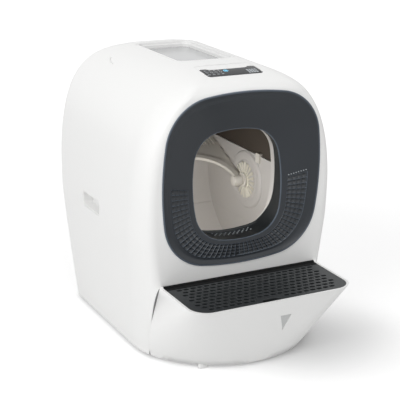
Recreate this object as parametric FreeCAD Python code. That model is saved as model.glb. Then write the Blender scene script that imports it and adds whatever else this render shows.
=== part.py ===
"""Self-cleaning litter box: body with a front entrance, a tub with a turning comb scoop, a waste drawer
under a perforated step. Millimetres, +Z up, front towards -Y, origin on the floor under the middle.
The pieces are drawn with the body's front face at y = 0 and moved to the origin when they are written."""
import FreeCAD, Part
import math
import os
from FreeCAD import Vector

# Body
BODY_HEIGHT = 603.0
BODY_DEPTH = 494.0
HALF_WIDTH_WIDEST = 232.0
SIDE_TAPER = 28.0
HALF_WIDTH_FLOOR = HALF_WIDTH_WIDEST - SIDE_TAPER
WIDEST_HEIGHT = 277.0
SIDE_TAPER_POWER = 1.16
SHOULDER_POWER = 2.87
DEPTH_FLOOR = 440.0
BACK_TOP_ROUND = 95.0
DEEPEST_HEIGHT = BODY_HEIGHT - BACK_TOP_ROUND
BACK_TAPER_POWER = 0.8
BACK_TOP_POWER = 4.9
FRONT_TOP_ROUND = 51.0
FRONT_TOP_START = BODY_HEIGHT - FRONT_TOP_ROUND
FRONT_TOP_POWER = 2.8
MIDDLE_DEPTH = 210.0
FRONT_CORNER_X = 47.0
FRONT_CORNER_Y = 98.0
FRONT_CORNER_SHRINK = 0.68
FRONT_CORNER_SHRINK_HEIGHT = 366.0
BACK_CORNER_SHARE = 0.68
BACK_CORNER_Y = 45.0
CORNER_SHARE_OF_WIDTH = 0.6
CORNER_SHARE_OF_DEPTH = 0.8
TOP_CAP_ANGLE = 74.0
CORNER_CHORDS = 4
BODY_BANDS = (4, 6, 7)
INNER_CHORDS = 1
INNER_BANDS = (2, 4, 4)
WALL = 3.0
FOOT_HEIGHT = 8.0

# Nail mark on the left shoulder
MARK_X = -141.0
MARK_DEPTH = 356.0
MARK_RADIUS = 26.0
MARK_WIDTH = 4.0
MARK_CUT = 1.0

# Entrance bezel and throat
BEZEL_SIDE_MARGIN = 45.0
BEZEL_TOP_MARGIN = 35.8
BEZEL_BOTTOM = 198.2
BEZEL_HALF_WIDTH = HALF_WIDTH_WIDEST - BEZEL_SIDE_MARGIN
BEZEL_HALF_HEIGHT = (BODY_HEIGHT - BEZEL_TOP_MARGIN - BEZEL_BOTTOM) / 2.0
BEZEL_CENTRE = BEZEL_BOTTOM + BEZEL_HALF_HEIGHT
BEZEL_POWER = 3.17
BEZEL_PROUD = 2.0
BEZEL_RIM = 7.0
BEZEL_STEP_DEPTH = 5.0
BEZEL_STEP_SHARE = 0.10
BEZEL_SPIGOT_INSET = 5.0
DISH_WIDTH = 81.2
DISH_HEIGHT = 67.5
LIP_DROP = 19.1
LIP_HALF_WIDTH = BEZEL_HALF_WIDTH - DISH_WIDTH
LIP_HALF_HEIGHT = BEZEL_HALF_HEIGHT - DISH_HEIGHT
LIP_CENTRE = BEZEL_CENTRE - LIP_DROP
LIP_POWER = 2.9
LIP_DEPTH = 22.0
LIP_TILT = 6.5
MOULD_WALL = 3.0
SQUIRCLE_CHORDS = 3

# Tub and hood
TUB_FRONT = 62.0
TUB_RADIUS = 190.0
AXIS_DEPTH = TUB_FRONT + TUB_RADIUS
AXIS_HEIGHT = 290.0
DRIVE_ROOM = 73.0
TUB_HALF_WIDTH = HALF_WIDTH_WIDEST - DRIVE_ROOM
TUB_WALL = 3.0
TUB_SEAM_DROP = 102.0
TUB_SEAM_HEIGHT = AXIS_HEIGHT - TUB_SEAM_DROP
TUB_RIM_RISE = 70.0
TUB_RIM_HEIGHT = AXIS_HEIGHT + TUB_RIM_RISE
THROAT_REACH = 2.0
THROAT_END = TUB_FRONT + THROAT_REACH
RIM_FLANGE = 12.0
HOOD_STEP = 4.0
HOOD_MARGIN = 8.4
HOOD_ROOF = LIP_CENTRE + LIP_HALF_HEIGHT + HOOD_MARGIN
HOOD_BACK_INSET = 6.0
HOOD_BACK = AXIS_DEPTH + TUB_RADIUS - HOOD_BACK_INSET
HOOD_CORNER = 60.0
PORT_HALF_WIDTH = 100.0
PORT_DROP = 140.0
PORT_LOW = AXIS_HEIGHT - PORT_DROP
PORT_TALL = 55.0
PORT_HIGH = PORT_LOW + PORT_TALL
BOSS_RADIUS = 69.0
BOSS_HEIGHT = 4.0
BOSS_BEVEL = 4.0
LATCH_SETBACK = 50.0
LATCH_DEPTH = AXIS_DEPTH - LATCH_SETBACK
LATCH_WIDTH = 16.0
LATCH_DROP = 16.0
LATCH_RISE = 6.0

# Comb scoop and its hubs
SCOOP_INCLINE = 22.0
SCOOP_SIDE_GAP = 8.0
SCOOP_HALF_WIDTH = TUB_HALF_WIDTH - SCOOP_SIDE_GAP
SCOOP_TIP_GAP = 4.0
SCOOP_REACH = TUB_RADIUS - SCOOP_TIP_GAP
SCOOP_HEEL = 17.0
SCOOP_THICKNESS = 4.0
SCOOP_CORNER = 10.0
SCOOP_ARM = 17.0
CUTOUT_HALF_WIDTH = SCOOP_HALF_WIDTH - SCOOP_ARM
CUTOUT_REACH = 103.0
CUTOUT_POWER = 2.6
SCOOP_RIM_WIDTH = 13.0
SCOOP_RIM_RISE = 3.0
TINE_PITCH = 10.0
TINE_SLOT = 4.6
TINE_LENGTH = 48.0
TINE_ROOT = SCOOP_REACH - TINE_LENGTH
TINE_COUNT = 2 * int((SCOOP_HALF_WIDTH - TINE_SLOT) / TINE_PITCH) + 1
HUB_RADIUS = 12.0
HUB_LENGTH = 29.0
HUB_INNER_X = SCOOP_HALF_WIDTH - HUB_LENGTH
HUB_CAP = 4.0
HUB_FLANGE_RADIUS = 17.0
HUB_FLANGE_SET = 6.0
HUB_FLANGE_X = SCOOP_HALF_WIDTH - HUB_FLANGE_SET
HUB_FLANGE_THICKNESS = 4.0
BRUSH_RADIUS = 44.0
BRUSH_CORE_RADIUS = 27.0
BRUSH_THICKNESS = 3.2
BRUSH_TUFTS = 30
TUFT_ROOT_SHARE = 0.30
TUFT_TIP_SHARE = 0.22
SHAFT_RADIUS = 6.0

# Drive
CRADLE_THICKNESS = 5.0
CRADLE_RISE = 40.0
CRADLE_TOP = AXIS_HEIGHT + CRADLE_RISE
CRADLE_HALF_FOOT = 100.0
CRADLE_LEAN = 24.0
BUSH_RADIUS = 10.0
BUSH_FLANGE = 13.0
BUSH_FLANGE_THICKNESS = 2.0
GEAR_MODULE = 3.0
GEAR_TEETH = 40
PINION_TEETH = 10
TOOTH_ROOT_SHARE = 0.34
TOOTH_TIP_SHARE = 0.12
TOOTH_ROOT_DEPTH = 1.25
TOOTH_TIP_RISE = 0.95
PINION_TOOTH_SLIM = 0.05
GEAR_WIDTH = 8.0
GEAR_COLLAR = 16.0
GEAR_CLEAR = 3.0
PINION_ANGLE = -63.0
PINION_SHAFT_RADIUS = 4.0
PINION_SHAFT_LENGTH = 14.0
MOTOR_RADIUS = 20.0
MOTOR_LENGTH = 28.0
BRACKET_THICKNESS = 3.0
BRACKET_OUTREACH = 30.0
BRACKET_POST = 8.0
BRACKET_CLEAR = 2.0
BRACKET_HOLE_CLEAR = 1.0

# Drawer and step
STEP_REACH = 160.0
STEP_HEIGHT = 172.0
STEP_HALF_WIDTH = 188.8
STEP_CORNER = 43.0
STEP_FLOOR_RADIUS = 211.0
STEP_FLOOR_FRONT = -85.0
STEP_SEAM_TOP = 1.0
STEP_SEAM_FLOOR = 37.0
STEP_GAP = 1.2
STEP_WALL = 3.0
PROW_FLAT = 1.0
SKID_RADIUS = 9.0
SKID_DEPTH = -62.0
TREAD_THICKNESS = 4.0
TREAD_SINK = 1.0
TREAD_RIM = 5.2
TREAD_LEDGE = 8.0
TREAD_WEB_RISE = 1.0
TREAD_BACK = -8.0
BARREL_RADIUS = 3.5
BARREL_DEPTH = -4.2
BARREL_SINK = 0.5
BARREL_HEIGHT = STEP_HEIGHT - BARREL_SINK
PIN_RADIUS = 1.6
PIN_LENGTH = 16.0
PIN_SINK = 1.0
TREAD_ROWS = 7
TREAD_COLUMNS = 13
TREAD_HOLE_X = 12.0
TREAD_HOLE_Y = 5.5
TREAD_PITCH_X = 25.0
TREAD_PITCH_Y = 14.0
TREAD_FRONT_BORDER = 42.0
TREAD_FIRST_ROW = TREAD_FRONT_BORDER - STEP_REACH
NOTCH_CENTRE = -11.0
NOTCH_WIDTH = 43.0
NOTCH_DEPTH = 15.0
NOTCH_CORNER = 11.0

# Waste bin
BIN_HALF_WIDTH = 165.0
BIN_SETBACK = 20.0
BIN_FRONT = BIN_SETBACK - STEP_REACH
BIN_BACK = 150.0
BIN_CORNER = 30.0
BIN_FLOOR_FRONT = -76.0
BIN_FLOOR = 18.0
BIN_RIM_DROP = 22.0
BIN_RIM = STEP_HEIGHT - BIN_RIM_DROP
BIN_RIM_BEND = 10.0
BIN_BACK_DROP = 182.0
BIN_BACK_HEIGHT = AXIS_HEIGHT - BIN_BACK_DROP
BIN_WALL = 2.5
BIN_CLEARANCE = 2.0
BAG_FRAME_THICKNESS = 3.0
BAG_FRAME_INSET = 6.0
CHUTE_FRONT = 25.0
CHUTE_LEAN = 9.0
CHUTE_REAR_SETBACK = 127.3
CHUTE_CLEARANCE = 3.0

# Top tray and control strip
TRAY_HALF_WIDTH = 72.0
TRAY_FRONT = 160.0
TRAY_BACK = 394.0
TRAY_CORNER = 26.0
TRAY_DROP = 20.0
TRAY_FLOOR_HEIGHT = BODY_HEIGHT - TRAY_DROP
TRAY_WALL = 2.5
TRAY_STEP = 7.0
TRAY_STEP_DROP = 9.0
TRAY_STEP_HEIGHT = BODY_HEIGHT - TRAY_STEP_DROP
MAT_THICKNESS = 1.5
SHELF_WIDTH = 6.0
PANEL_HALF_WIDTH = 65.5
PANEL_FRONT = 43.0
PANEL_BACK = 111.0
PANEL_CORNER = 8.0
TOUCH_BOARD_DROP = 10.0

# Grips
GRIP_FRONT = 210.0
GRIP_BACK = 304.0
GRIP_DROP = 25.0
GRIP_LOW = AXIS_HEIGHT - GRIP_DROP
GRIP_TALL = 35.0
GRIP_HIGH = GRIP_LOW + GRIP_TALL
GRIP_CORNER = 12.0
GRIP_DEPTH = 24.0

# Rear panel, base and small parts
REAR_HALF_WIDTH = 90.0
REAR_LOW = 60.0
REAR_HIGH = 300.0
REAR_CORNER = 12.0
VENT_COUNT = 9
VENT_PITCH = 9.0
VENT_WIDTH = 4.0
VENT_LENGTH = 90.0
VENT_LOW = 200.0
INLET_X = 45.0
INLET_HEIGHT = 84.0
INLET_RADIUS = 7.0
INLET_BORE = 3.5
INLET_LENGTH = 16.0
PAN_THICKNESS = 4.0
FOOT_RADIUS = 14.0
FOOT_BEVEL = 2.0
FOOT_FRONT = (178.0, 85.0)
FOOT_REAR = (150.0, 395.0)
CELL_LENGTH = 44.0
CELL_WIDTH = 12.0
CELL_HEIGHT = 5.5
SCREW_RADIUS = 1.8
SCREW_HEAD = 4.5
SCREW_HEAD_THICKNESS = 2.0
PILLAR_RADIUS = 5.5
PILLAR_TOP = 40.0
PILLAR_INSET = 8.0
PILLAR_DEPTH = 190.0
PILLAR_REAR_X = 85.0
RAIL_THICKNESS = 4.0
RAIL_HEIGHT = 20.0
RAIL_FRONT = 42.0
RAIL_SHELF = 15.0
BOARD_LENGTH = 120.0
BOARD_WIDTH = 80.0
BOARD_THICKNESS = 1.6
BOARD_HEIGHT = 20.0
BOARD_FRONT = 325.0
PROCESSOR_HALF = 12.0
PROCESSOR_DEPTH = 42.0
PROCESSOR_HEIGHT = 3.0
RELAY_X = 30.0
RELAY_DEPTH = 56.0
RELAY_LENGTH = 20.0
RELAY_WIDTH = 16.0
RELAY_HEIGHT = 12.0
CAPACITOR_RADIUS = 6.0
CAPACITOR_X = -36.0
CAPACITOR_DEPTH = 24.0
CAPACITOR_HEIGHT = 15.0
PLUG_COUNT = 3
PLUG_PITCH = 22.0
PLUG_FIRST_X = -50.0
PLUG_DEPTH = 64.0
PLUG_LENGTH = 16.0
PLUG_WIDTH = 10.0
PLUG_HEIGHT = 8.0
SENSOR_X = 30.0
SENSOR_SETBACK = 30.0
SENSOR_DEPTH = TUB_FRONT + SENSOR_SETBACK
SENSOR_RADIUS = 4.0
SENSOR_HEAD = 6.0
SENSOR_PROUD = 1.0
FILTER_HALF_WIDTH = 45.0
FILTER_FRONT = 300.0
FILTER_LENGTH = 70.0
FILTER_HEIGHT = 18.0
GRILLE_SLOTS = 6

# Clearances and facets
GAP = 0.3
SHAFT_GAP = 0.05
CUT_OVER = 1.0
TOUCH = 0.001
FLAT = 0.000001
PAD_CHORDS = 4
PROW_CHORDS = 8
ROUND_SIDES = 16
WIDE_ROUND_SIDES = 36

PAN_FLOOR = FOOT_HEIGHT + PAN_THICKNESS
TREAD_TOP = STEP_HEIGHT - TREAD_SINK
TREAD_BOTTOM = TREAD_TOP - TREAD_THICKNESS
TUB_OUTER_X = TUB_HALF_WIDTH + TUB_WALL
CRADLE_X = TUB_OUTER_X + GAP
PIN_OUTER_X = STEP_HALF_WIDTH - PIN_SINK - GAP
GEAR_X = CRADLE_X + CRADLE_THICKNESS + GEAR_CLEAR
BRACKET_X = GEAR_X + GEAR_WIDTH + BRACKET_CLEAR
BIG = 2.0 * BODY_HEIGHT
ORIGIN_SHIFT = (STEP_REACH - BODY_DEPTH) / 2.0


def block(x0, x1, y0, y1, z0, z1):
    """A box between two corners."""
    return Part.makeBox(x1 - x0, y1 - y0, z1 - z0, Vector(x0, y0, z0))


def rod_x(radius, x0, x1, y, z):
    """A round bar along X."""
    return Part.makeCylinder(radius, x1 - x0, Vector(x0, y, z), Vector(1, 0, 0))


def rod_z(radius, x, y, z0, z1):
    """A round bar along Z."""
    return Part.makeCylinder(radius, z1 - z0, Vector(x, y, z0), Vector(0, 0, 1))


def join(shapes):
    """One solid from pieces that touch or overlap."""
    shapes = list(shapes)
    whole = shapes[0].fuse(shapes[1:]) if len(shapes) > 1 else shapes[0]
    return whole.removeSplitter()


def mirrored(shape):
    """The same piece on the other side."""
    return shape.mirror(Vector(0, 0, 0), Vector(1, 0, 0))


def on_both_sides(shape):
    """The piece and its mirror image, as a group."""
    return Part.makeCompound([shape, mirrored(shape)])


def polygon_face(points):
    """A flat face inside straight edges."""
    return Part.Face(Part.makePolygon(list(points) + [points[0]]))


def prism_x(points_yz, x0, x1):
    """An outline in the Y-Z plane, drawn out along X."""
    return polygon_face([Vector(x0, y, z) for y, z in points_yz]).extrude(Vector(x1 - x0, 0, 0))


def arc_edge(centre, radius, start, end, place):
    """A circular arc between two angles in degrees; place(u, v) puts its points in space."""
    def at(degrees):
        turn = math.radians(degrees)
        return place(centre[0] + radius * math.cos(turn), centre[1] + radius * math.sin(turn))
    return Part.Arc(at(start), at((start + end) / 2.0), at(end)).toShape()


def arc_points(centre, radius, start, end, place, chords):
    """Points along a circular arc between two angles in degrees."""
    angles = [math.radians(start + (end - start) * k / chords) for k in range(chords + 1)]
    return [place(centre[0] + radius * math.cos(a), centre[1] + radius * math.sin(a)) for a in angles]


def closed_outline(runs):
    """The points of a closed outline through runs whose ends meet or are joined straight."""
    points = []
    for run in runs:
        for spot in run:
            if not points or (spot - points[-1]).Length > TOUCH:
                points.append(spot)
    if (points[0] - points[-1]).Length <= TOUCH:
        points.pop()
    return points


def rounded_rectangle(u0, u1, v0, v1, corner, place):
    """A rectangle with round corners; place(u, v) puts it in space."""
    centres = [(u1 - corner, v1 - corner), (u0 + corner, v1 - corner), (u0 + corner, v0 + corner),
               (u1 - corner, v0 + corner)]
    return polygon_face(closed_outline([arc_points(centre, corner, 90.0 * k, 90.0 * k + 90.0, place, PAD_CHORDS)
                                        for k, centre in enumerate(centres)]))


def pad_x(y0, y1, z0, z1, x0, x1, corner):
    """A block along X with round edges."""
    face = rounded_rectangle(y0, y1, z0, z1, corner, lambda u, v: Vector(x0, u, v))
    return face.extrude(Vector(x1 - x0, 0, 0))


def pad_y(x0, x1, z0, z1, y0, y1, corner):
    """A block along Y with round edges."""
    face = rounded_rectangle(x0, x1, z0, z1, corner, lambda u, v: Vector(u, y0, v))
    return face.extrude(Vector(0, y1 - y0, 0))


def pad_z(x0, x1, y0, y1, z0, z1, corner):
    """A block along Z with round edges."""
    face = rounded_rectangle(x0, x1, y0, y1, corner, lambda u, v: Vector(u, v, z0))
    return face.extrude(Vector(0, 0, z1 - z0))


def quad_faces(a, b, c, d):
    """One flat face on four points, or two where the points are not in one plane."""
    normal = (b - a).cross(c - a)
    if abs(normal.dot(d - a)) < FLAT * normal.Length:
        return [polygon_face([a, b, c, d])]
    if (c - a).Length < (d - b).Length:
        return [polygon_face([a, b, c]), polygon_face([a, c, d])]
    return [polygon_face([a, b, d]), polygon_face([b, c, d])]


def faceted(outlines):
    """A solid of flat facets through outlines with the same number of points, closed by flat ends."""
    faces = [polygon_face(outlines[0]), polygon_face(outlines[-1])]
    for low, high in zip(outlines, outlines[1:]):
        for k in range(len(low)):
            n = (k + 1) % len(low)
            faces += quad_faces(low[k], low[n], high[n], high[k])
    shell = Part.makeShell(faces)
    shell.sewShape()
    solid = Part.makeSolid(shell)
    if solid.Volume < 0.0:
        solid.reverse()
    return solid


def ring(radius, sides, place):
    """Points round a circle; place(u, v) puts them in space."""
    return arc_points((0.0, 0.0), radius, 0.0, 360.0, place, sides)[:-1]


def drum_x(steps, y, z, sides=ROUND_SIDES):
    """A round piece about X with flat facets; steps gives its outline as (radius, x)."""
    return faceted([ring(radius, sides, lambda u, v: Vector(x, y + u, z + v)) for radius, x in steps])


def drum_y(steps, x, z, sides=ROUND_SIDES):
    """A round piece about Y with flat facets; steps gives its outline as (radius, y)."""
    return faceted([ring(radius, sides, lambda u, v: Vector(x + u, y, z + v)) for radius, y in steps])


def drum_z(steps, x, y, sides=ROUND_SIDES):
    """A round piece about Z with flat facets; steps gives its outline as (radius, z)."""
    return faceted([ring(radius, sides, lambda u, v: Vector(x + u, y + v, z)) for radius, z in steps])


def oval_corner(reach_x, reach_y, place, chords):
    """A quarter oval from its end on X to its end on Y: two tangent arcs, each in a number of chords."""
    turn = math.atan2(reach_x, reach_y)
    c = math.cos(turn)
    s = math.sin(turn)
    tight = (reach_x * s / (1 - c) - reach_y) / (c * s / (1 - c) - 1 + s)
    wide = (reach_x - tight * c) / (1 - c)
    degrees = math.degrees(turn)
    return (arc_points((reach_x - wide, 0), wide, 0, degrees, place, chords)
            + arc_points((0, reach_y - tight), tight, degrees, 90, place, chords)[1:])


def rounded_loop(half_width, front, back, corners, z, chords):
    """A level outline, symmetric in X, with oval corners: ((front x, y), (back x, y))."""
    (fx, fy), (bx, by) = corners
    w = half_width

    def front_corner(side):
        return oval_corner(fx, fy, lambda u, v: Vector(side * (w - fx + u), front + fy - v, z), chords)

    def back_corner(side):
        return oval_corner(bx, by, lambda u, v: Vector(side * (w - bx + u), back - by + v, z), chords)

    return closed_outline([front_corner(1)[::-1], back_corner(1), back_corner(-1)[::-1], front_corner(-1)])


def closing(z, start, top, power):
    """1 up to the start height, then down to 0 at the top along a superellipse."""
    share = min(max((z - start) / (top - start), 0.0), 1.0)
    return (1.0 - share ** power) ** (1.0 / power)


def body_half_width(z, inset=0.0):
    """Half the body's width at a height: widest at the middle, closing over the shoulders."""
    low = max(0.0, (WIDEST_HEIGHT - z) / WIDEST_HEIGHT) ** SIDE_TAPER_POWER
    side = HALF_WIDTH_WIDEST - (HALF_WIDTH_WIDEST - HALF_WIDTH_FLOOR) * low - inset
    return side * closing(z, WIDEST_HEIGHT, BODY_HEIGHT - inset, SHOULDER_POWER)


def body_back(z, inset=0.0):
    """The body's rear limit at a height."""
    low = max(0.0, (DEEPEST_HEIGHT - z) / DEEPEST_HEIGHT) ** BACK_TAPER_POWER
    back = BODY_DEPTH - (BODY_DEPTH - DEPTH_FLOOR) * low - inset
    return MIDDLE_DEPTH + (back - MIDDLE_DEPTH) * closing(z, DEEPEST_HEIGHT, BODY_HEIGHT - inset, BACK_TOP_POWER)


def body_front(z, inset=0.0):
    """The body's front limit at a height: upright, then rounding back into the top."""
    return MIDDLE_DEPTH - (MIDDLE_DEPTH - inset) * closing(z, FRONT_TOP_START, BODY_HEIGHT - inset,
                                                           FRONT_TOP_POWER)


def body_section(z, inset=0.0, chords=CORNER_CHORDS):
    """The body's level outline at a height, moved inwards by the inset."""
    width = body_half_width(z, inset)
    back = body_back(z, inset)
    front = body_front(z, inset)
    shrink = 1.0 - (1.0 - FRONT_CORNER_SHRINK) * min(z / FRONT_CORNER_SHRINK_HEIGHT, 1.0)
    front_corner = (min(FRONT_CORNER_X * shrink, CORNER_SHARE_OF_WIDTH * width),
                    min(FRONT_CORNER_Y * shrink, CORNER_SHARE_OF_DEPTH * (MIDDLE_DEPTH - front)))
    back_corner = (BACK_CORNER_SHARE * width, min(BACK_CORNER_Y, CORNER_SHARE_OF_DEPTH * (back - MIDDLE_DEPTH)))
    return rounded_loop(width, front, back, (front_corner, back_corner), z, chords)


def body_form(inset, floor, bands, chords=CORNER_CHORDS):
    """The body's solid form, or its inside: level outlines joined by bands of flat facets.
    The bands are counted below the widest height, up to the start of the top's rounding, and above it."""
    low_bands, side_bands, top_bands = bands
    top = BODY_HEIGHT - inset
    low = [floor + (WIDEST_HEIGHT - floor) * k / low_bands for k in range(low_bands)]
    middle = [WIDEST_HEIGHT + (FRONT_TOP_START - WIDEST_HEIGHT) * math.sin(math.radians(90.0 * k / side_bands))
              for k in range(side_bands)]
    high = [FRONT_TOP_START + (top - FRONT_TOP_START) * math.sin(math.radians(TOP_CAP_ANGLE * k / top_bands))
            for k in range(top_bands + 1)]
    return faceted([body_section(z, inset, chords) for z in low + middle + high])


def squircle_arcs(half_u, half_v, power):
    """The arcs of a squircle's first quarter, from the u axis to the v axis: (centre, radius, start, end).
    Flat arcs cross the axes, and one tight arc through the superellipse's diagonal point joins them."""
    near = 1.0 - (1.0 - 0.5 ** power) ** (1.0 / power)
    side = ((half_v / 2.0) ** 2 + (near * half_u) ** 2) / (2.0 * near * half_u)
    cap = ((half_u / 2.0) ** 2 + (near * half_v) ** 2) / (2.0 * near * half_v)
    share = 2.0 ** (-1.0 / power)
    spot = (share * half_u, share * half_v)
    side_centre = (half_u - side, 0.0)
    cap_centre = (0.0, half_v - cap)

    def tight(centre, radius, turn):
        """The radius of a circle through the diagonal point, touching a flat arc from inside."""
        du = spot[0] - centre[0]
        dv = spot[1] - centre[1]
        along = math.cos(turn) * du + math.sin(turn) * dv
        return (du * du + dv * dv - radius * radius) / (2.0 * (along - radius))

    low = math.radians(15.0)
    high = math.radians(75.0)
    for _ in range(50):
        turn = (low + high) / 2.0
        if tight(side_centre, side, turn) > tight(cap_centre, cap, turn):
            low = turn
        else:
            high = turn
    radius = tight(side_centre, side, turn)
    centre = (spot[0] - radius * math.cos(turn), spot[1] - radius * math.sin(turn))
    start = math.degrees(math.atan2(centre[1] - side_centre[1], centre[0] - side_centre[0]))
    end = math.degrees(math.atan2(centre[1] - cap_centre[1], centre[0] - cap_centre[0]))
    return (side_centre, side, start), (centre, radius, start, end), (cap_centre, cap, end)


def squircle(half_u, half_v, power, place):
    """The points of a squircle of tangent arcs; place(u, v) puts them in space."""
    (side_centre, side, start), (centre, radius, first, last), (cap_centre, cap, end) = \
        squircle_arcs(half_u, half_v, power)

    def quarter(su, sv):
        def flipped(u, v):
            return place(su * u, sv * v)
        return (arc_points(side_centre, side, 0.0, start, flipped, SQUIRCLE_CHORDS)
                + arc_points(centre, radius, first, last, flipped, 2 * SQUIRCLE_CHORDS)[1:]
                + arc_points(cap_centre, cap, end, 90.0, flipped, SQUIRCLE_CHORDS)[1:])
    return closed_outline([quarter(1, 1), quarter(-1, 1)[::-1], quarter(-1, -1), quarter(1, -1)[::-1]])


def bezel_loop(share, depth, inset=0.0, tilt=0.0):
    """An outline between the bezel's edge (share 0) and the entrance lip (share 1); its plane may lean back."""
    def between(edge, lip):
        return edge + (lip - edge) * share
    centre = between(BEZEL_CENTRE, LIP_CENTRE)
    lean = math.radians(tilt)

    def place(u, v):
        return Vector(u, depth + v * math.sin(lean), centre + v * math.cos(lean))
    return squircle(between(BEZEL_HALF_WIDTH, LIP_HALF_WIDTH) - inset,
                    between(BEZEL_HALF_HEIGHT, LIP_HALF_HEIGHT) - inset, between(BEZEL_POWER, LIP_POWER), place)


def lip_loop(depth, outset=0.0, tilt=0.0):
    """The entrance lip's outline, moved outwards by the outset."""
    return bezel_loop(1.0, depth, -outset, tilt)


def throat_bore(outset, start, end):
    """The entrance opening's form between two depths."""
    return faceted([lip_loop(start, outset), lip_loop(end, outset)])


SHAPES = {}


def keep(name, shape):
    """Notes one piece of the object under its own name."""
    SHAPES[name] = shape


def write_parts():
    """Moves every piece to the common origin and writes it."""
    os.makedirs("parts", exist_ok=True)
    for name, shape in SHAPES.items():
        moved = shape.copy()
        moved.translate(Vector(0, ORIGIN_SHIFT, 0))
        moved.exportStep("parts/" + name + ".step")


def seam_depth(z, ahead=0.0):
    """Depth of the slanted seam between drawer and body at a height, or of a plane in front of it."""
    return STEP_SEAM_FLOOR + (STEP_SEAM_TOP - STEP_SEAM_FLOOR) * z / STEP_HEIGHT - ahead


def before_seam(ahead, top):
    """Everything in front of the slanted seam, up to a height."""
    outline = [(-BIG, -WALL), (seam_depth(-WALL, ahead), -WALL), (seam_depth(top, ahead), top), (-BIG, top)]
    return prism_x(outline, -BIG, BIG)


def tray_pad(outset, z0, z1):
    """The top tray's outline, moved outwards, between two heights."""
    return pad_z(-TRAY_HALF_WIDTH - outset, TRAY_HALF_WIDTH + outset, TRAY_FRONT - outset, TRAY_BACK + outset,
                 z0, z1, TRAY_CORNER + outset)


def panel_pad(outset):
    """The control strip's outline, moved outwards, through the top."""
    return pad_z(-PANEL_HALF_WIDTH - outset, PANEL_HALF_WIDTH + outset, PANEL_FRONT - outset,
                 PANEL_BACK + outset, FRONT_TOP_START, BIG, PANEL_CORNER + outset)


def grip_pad(outset, x0, x1):
    """The grip pocket's outline, moved outwards, between two places on X."""
    return pad_x(GRIP_FRONT - outset, GRIP_BACK + outset, GRIP_LOW - outset, GRIP_HIGH + outset, x0, x1,
                 GRIP_CORNER + outset)


def rear_pad(outset):
    """The rear panel's outline, moved outwards, through the back."""
    return pad_y(-REAR_HALF_WIDTH - outset, REAR_HALF_WIDTH + outset, REAR_LOW - outset, REAR_HIGH + outset,
                 DEPTH_FLOOR - 2.0 * BACK_CORNER_Y, BODY_DEPTH + WALL, REAR_CORNER + outset)


def pillar_places():
    """Where the screws through the base pan go up into the housing: (x, y)."""
    side = body_half_width(FOOT_HEIGHT, WALL) - PILLAR_INSET
    back = body_back(FOOT_HEIGHT, WALL) - PILLAR_INSET
    return [(-side, PILLAR_DEPTH), (side, PILLAR_DEPTH), (-PILLAR_REAR_X, back), (PILLAR_REAR_X, back)]


def screw_hole(x, y, top):
    """The hole for a case screw, from the floor up to a height."""
    radius = SCREW_RADIUS + SHAFT_GAP
    return drum_z([(radius, 0.0), (radius, top)], x, y)


def nail_mark():
    """A thin crescent, cut straight down into the left shoulder."""
    outer = rod_z(MARK_RADIUS, MARK_X + MARK_RADIUS, MARK_DEPTH, FRONT_TOP_START - WALL, BIG)
    inner = rod_z(MARK_RADIUS, MARK_X + MARK_RADIUS + MARK_WIDTH, MARK_DEPTH, FRONT_TOP_START - WALL, BIG)
    return outer.cut(inner)


def make_housing(outer, inner):
    """White shell with the entrance, the drawer bay, and the openings for tray, strip, grips and rear panel."""
    shell = outer.cut(inner)
    well = tray_pad(WALL, TRAY_FLOOR_HEIGHT - WALL - GAP, BIG).common(outer)
    pillars = []
    for x, y in pillar_places():
        pillars.append(drum_z([(PILLAR_RADIUS, PAN_FLOOR), (PILLAR_RADIUS, PILLAR_TOP)], x, y).common(outer))
        web = block(x - WALL / 2.0, x + WALL / 2.0, y, y + 2.0 * PILLAR_INSET, PAN_FLOOR, PILLAR_TOP)
        if abs(x) > PILLAR_REAR_X:
            x0, x1 = sorted((x, x + math.copysign(2.0 * PILLAR_INSET, x)))
            web = block(x0, x1, y - WALL / 2.0, y + WALL / 2.0, PAN_FLOOR, PILLAR_TOP)
        pillars.append(web.common(outer))
    shell = shell.fuse([well] + pillars)
    entrance = faceted([bezel_loop(0, -WALL, BEZEL_SPIGOT_INSET - GAP),
                        bezel_loop(0, 4.0 * WALL, BEZEL_SPIGOT_INSET - GAP)])
    cuts = [entrance, before_seam(0.0, STEP_HEIGHT + GAP), tray_pad(0.0, TRAY_FLOOR_HEIGHT - GAP, BIG),
            tray_pad(-SHELF_WIDTH, TRAY_FLOOR_HEIGHT - 2.0 * WALL, BIG), panel_pad(0.0), rear_pad(0.0),
            grip_pad(0.0, -BIG, BIG)]
    cuts += [screw_hole(x, y, PILLAR_TOP - WALL) for x, y in pillar_places()]
    return shell.cut(cuts)


def make_grip_cup(outer):
    """Right grip: a pocket let into the side, flush with the body's surface."""
    floor_x = HALF_WIDTH_WIDEST - GRIP_DEPTH
    cup = grip_pad(-GAP, floor_x - MOULD_WALL, BIG).common(outer)
    return cup.cut(grip_pad(-GAP - MOULD_WALL, floor_x, BIG))


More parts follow.
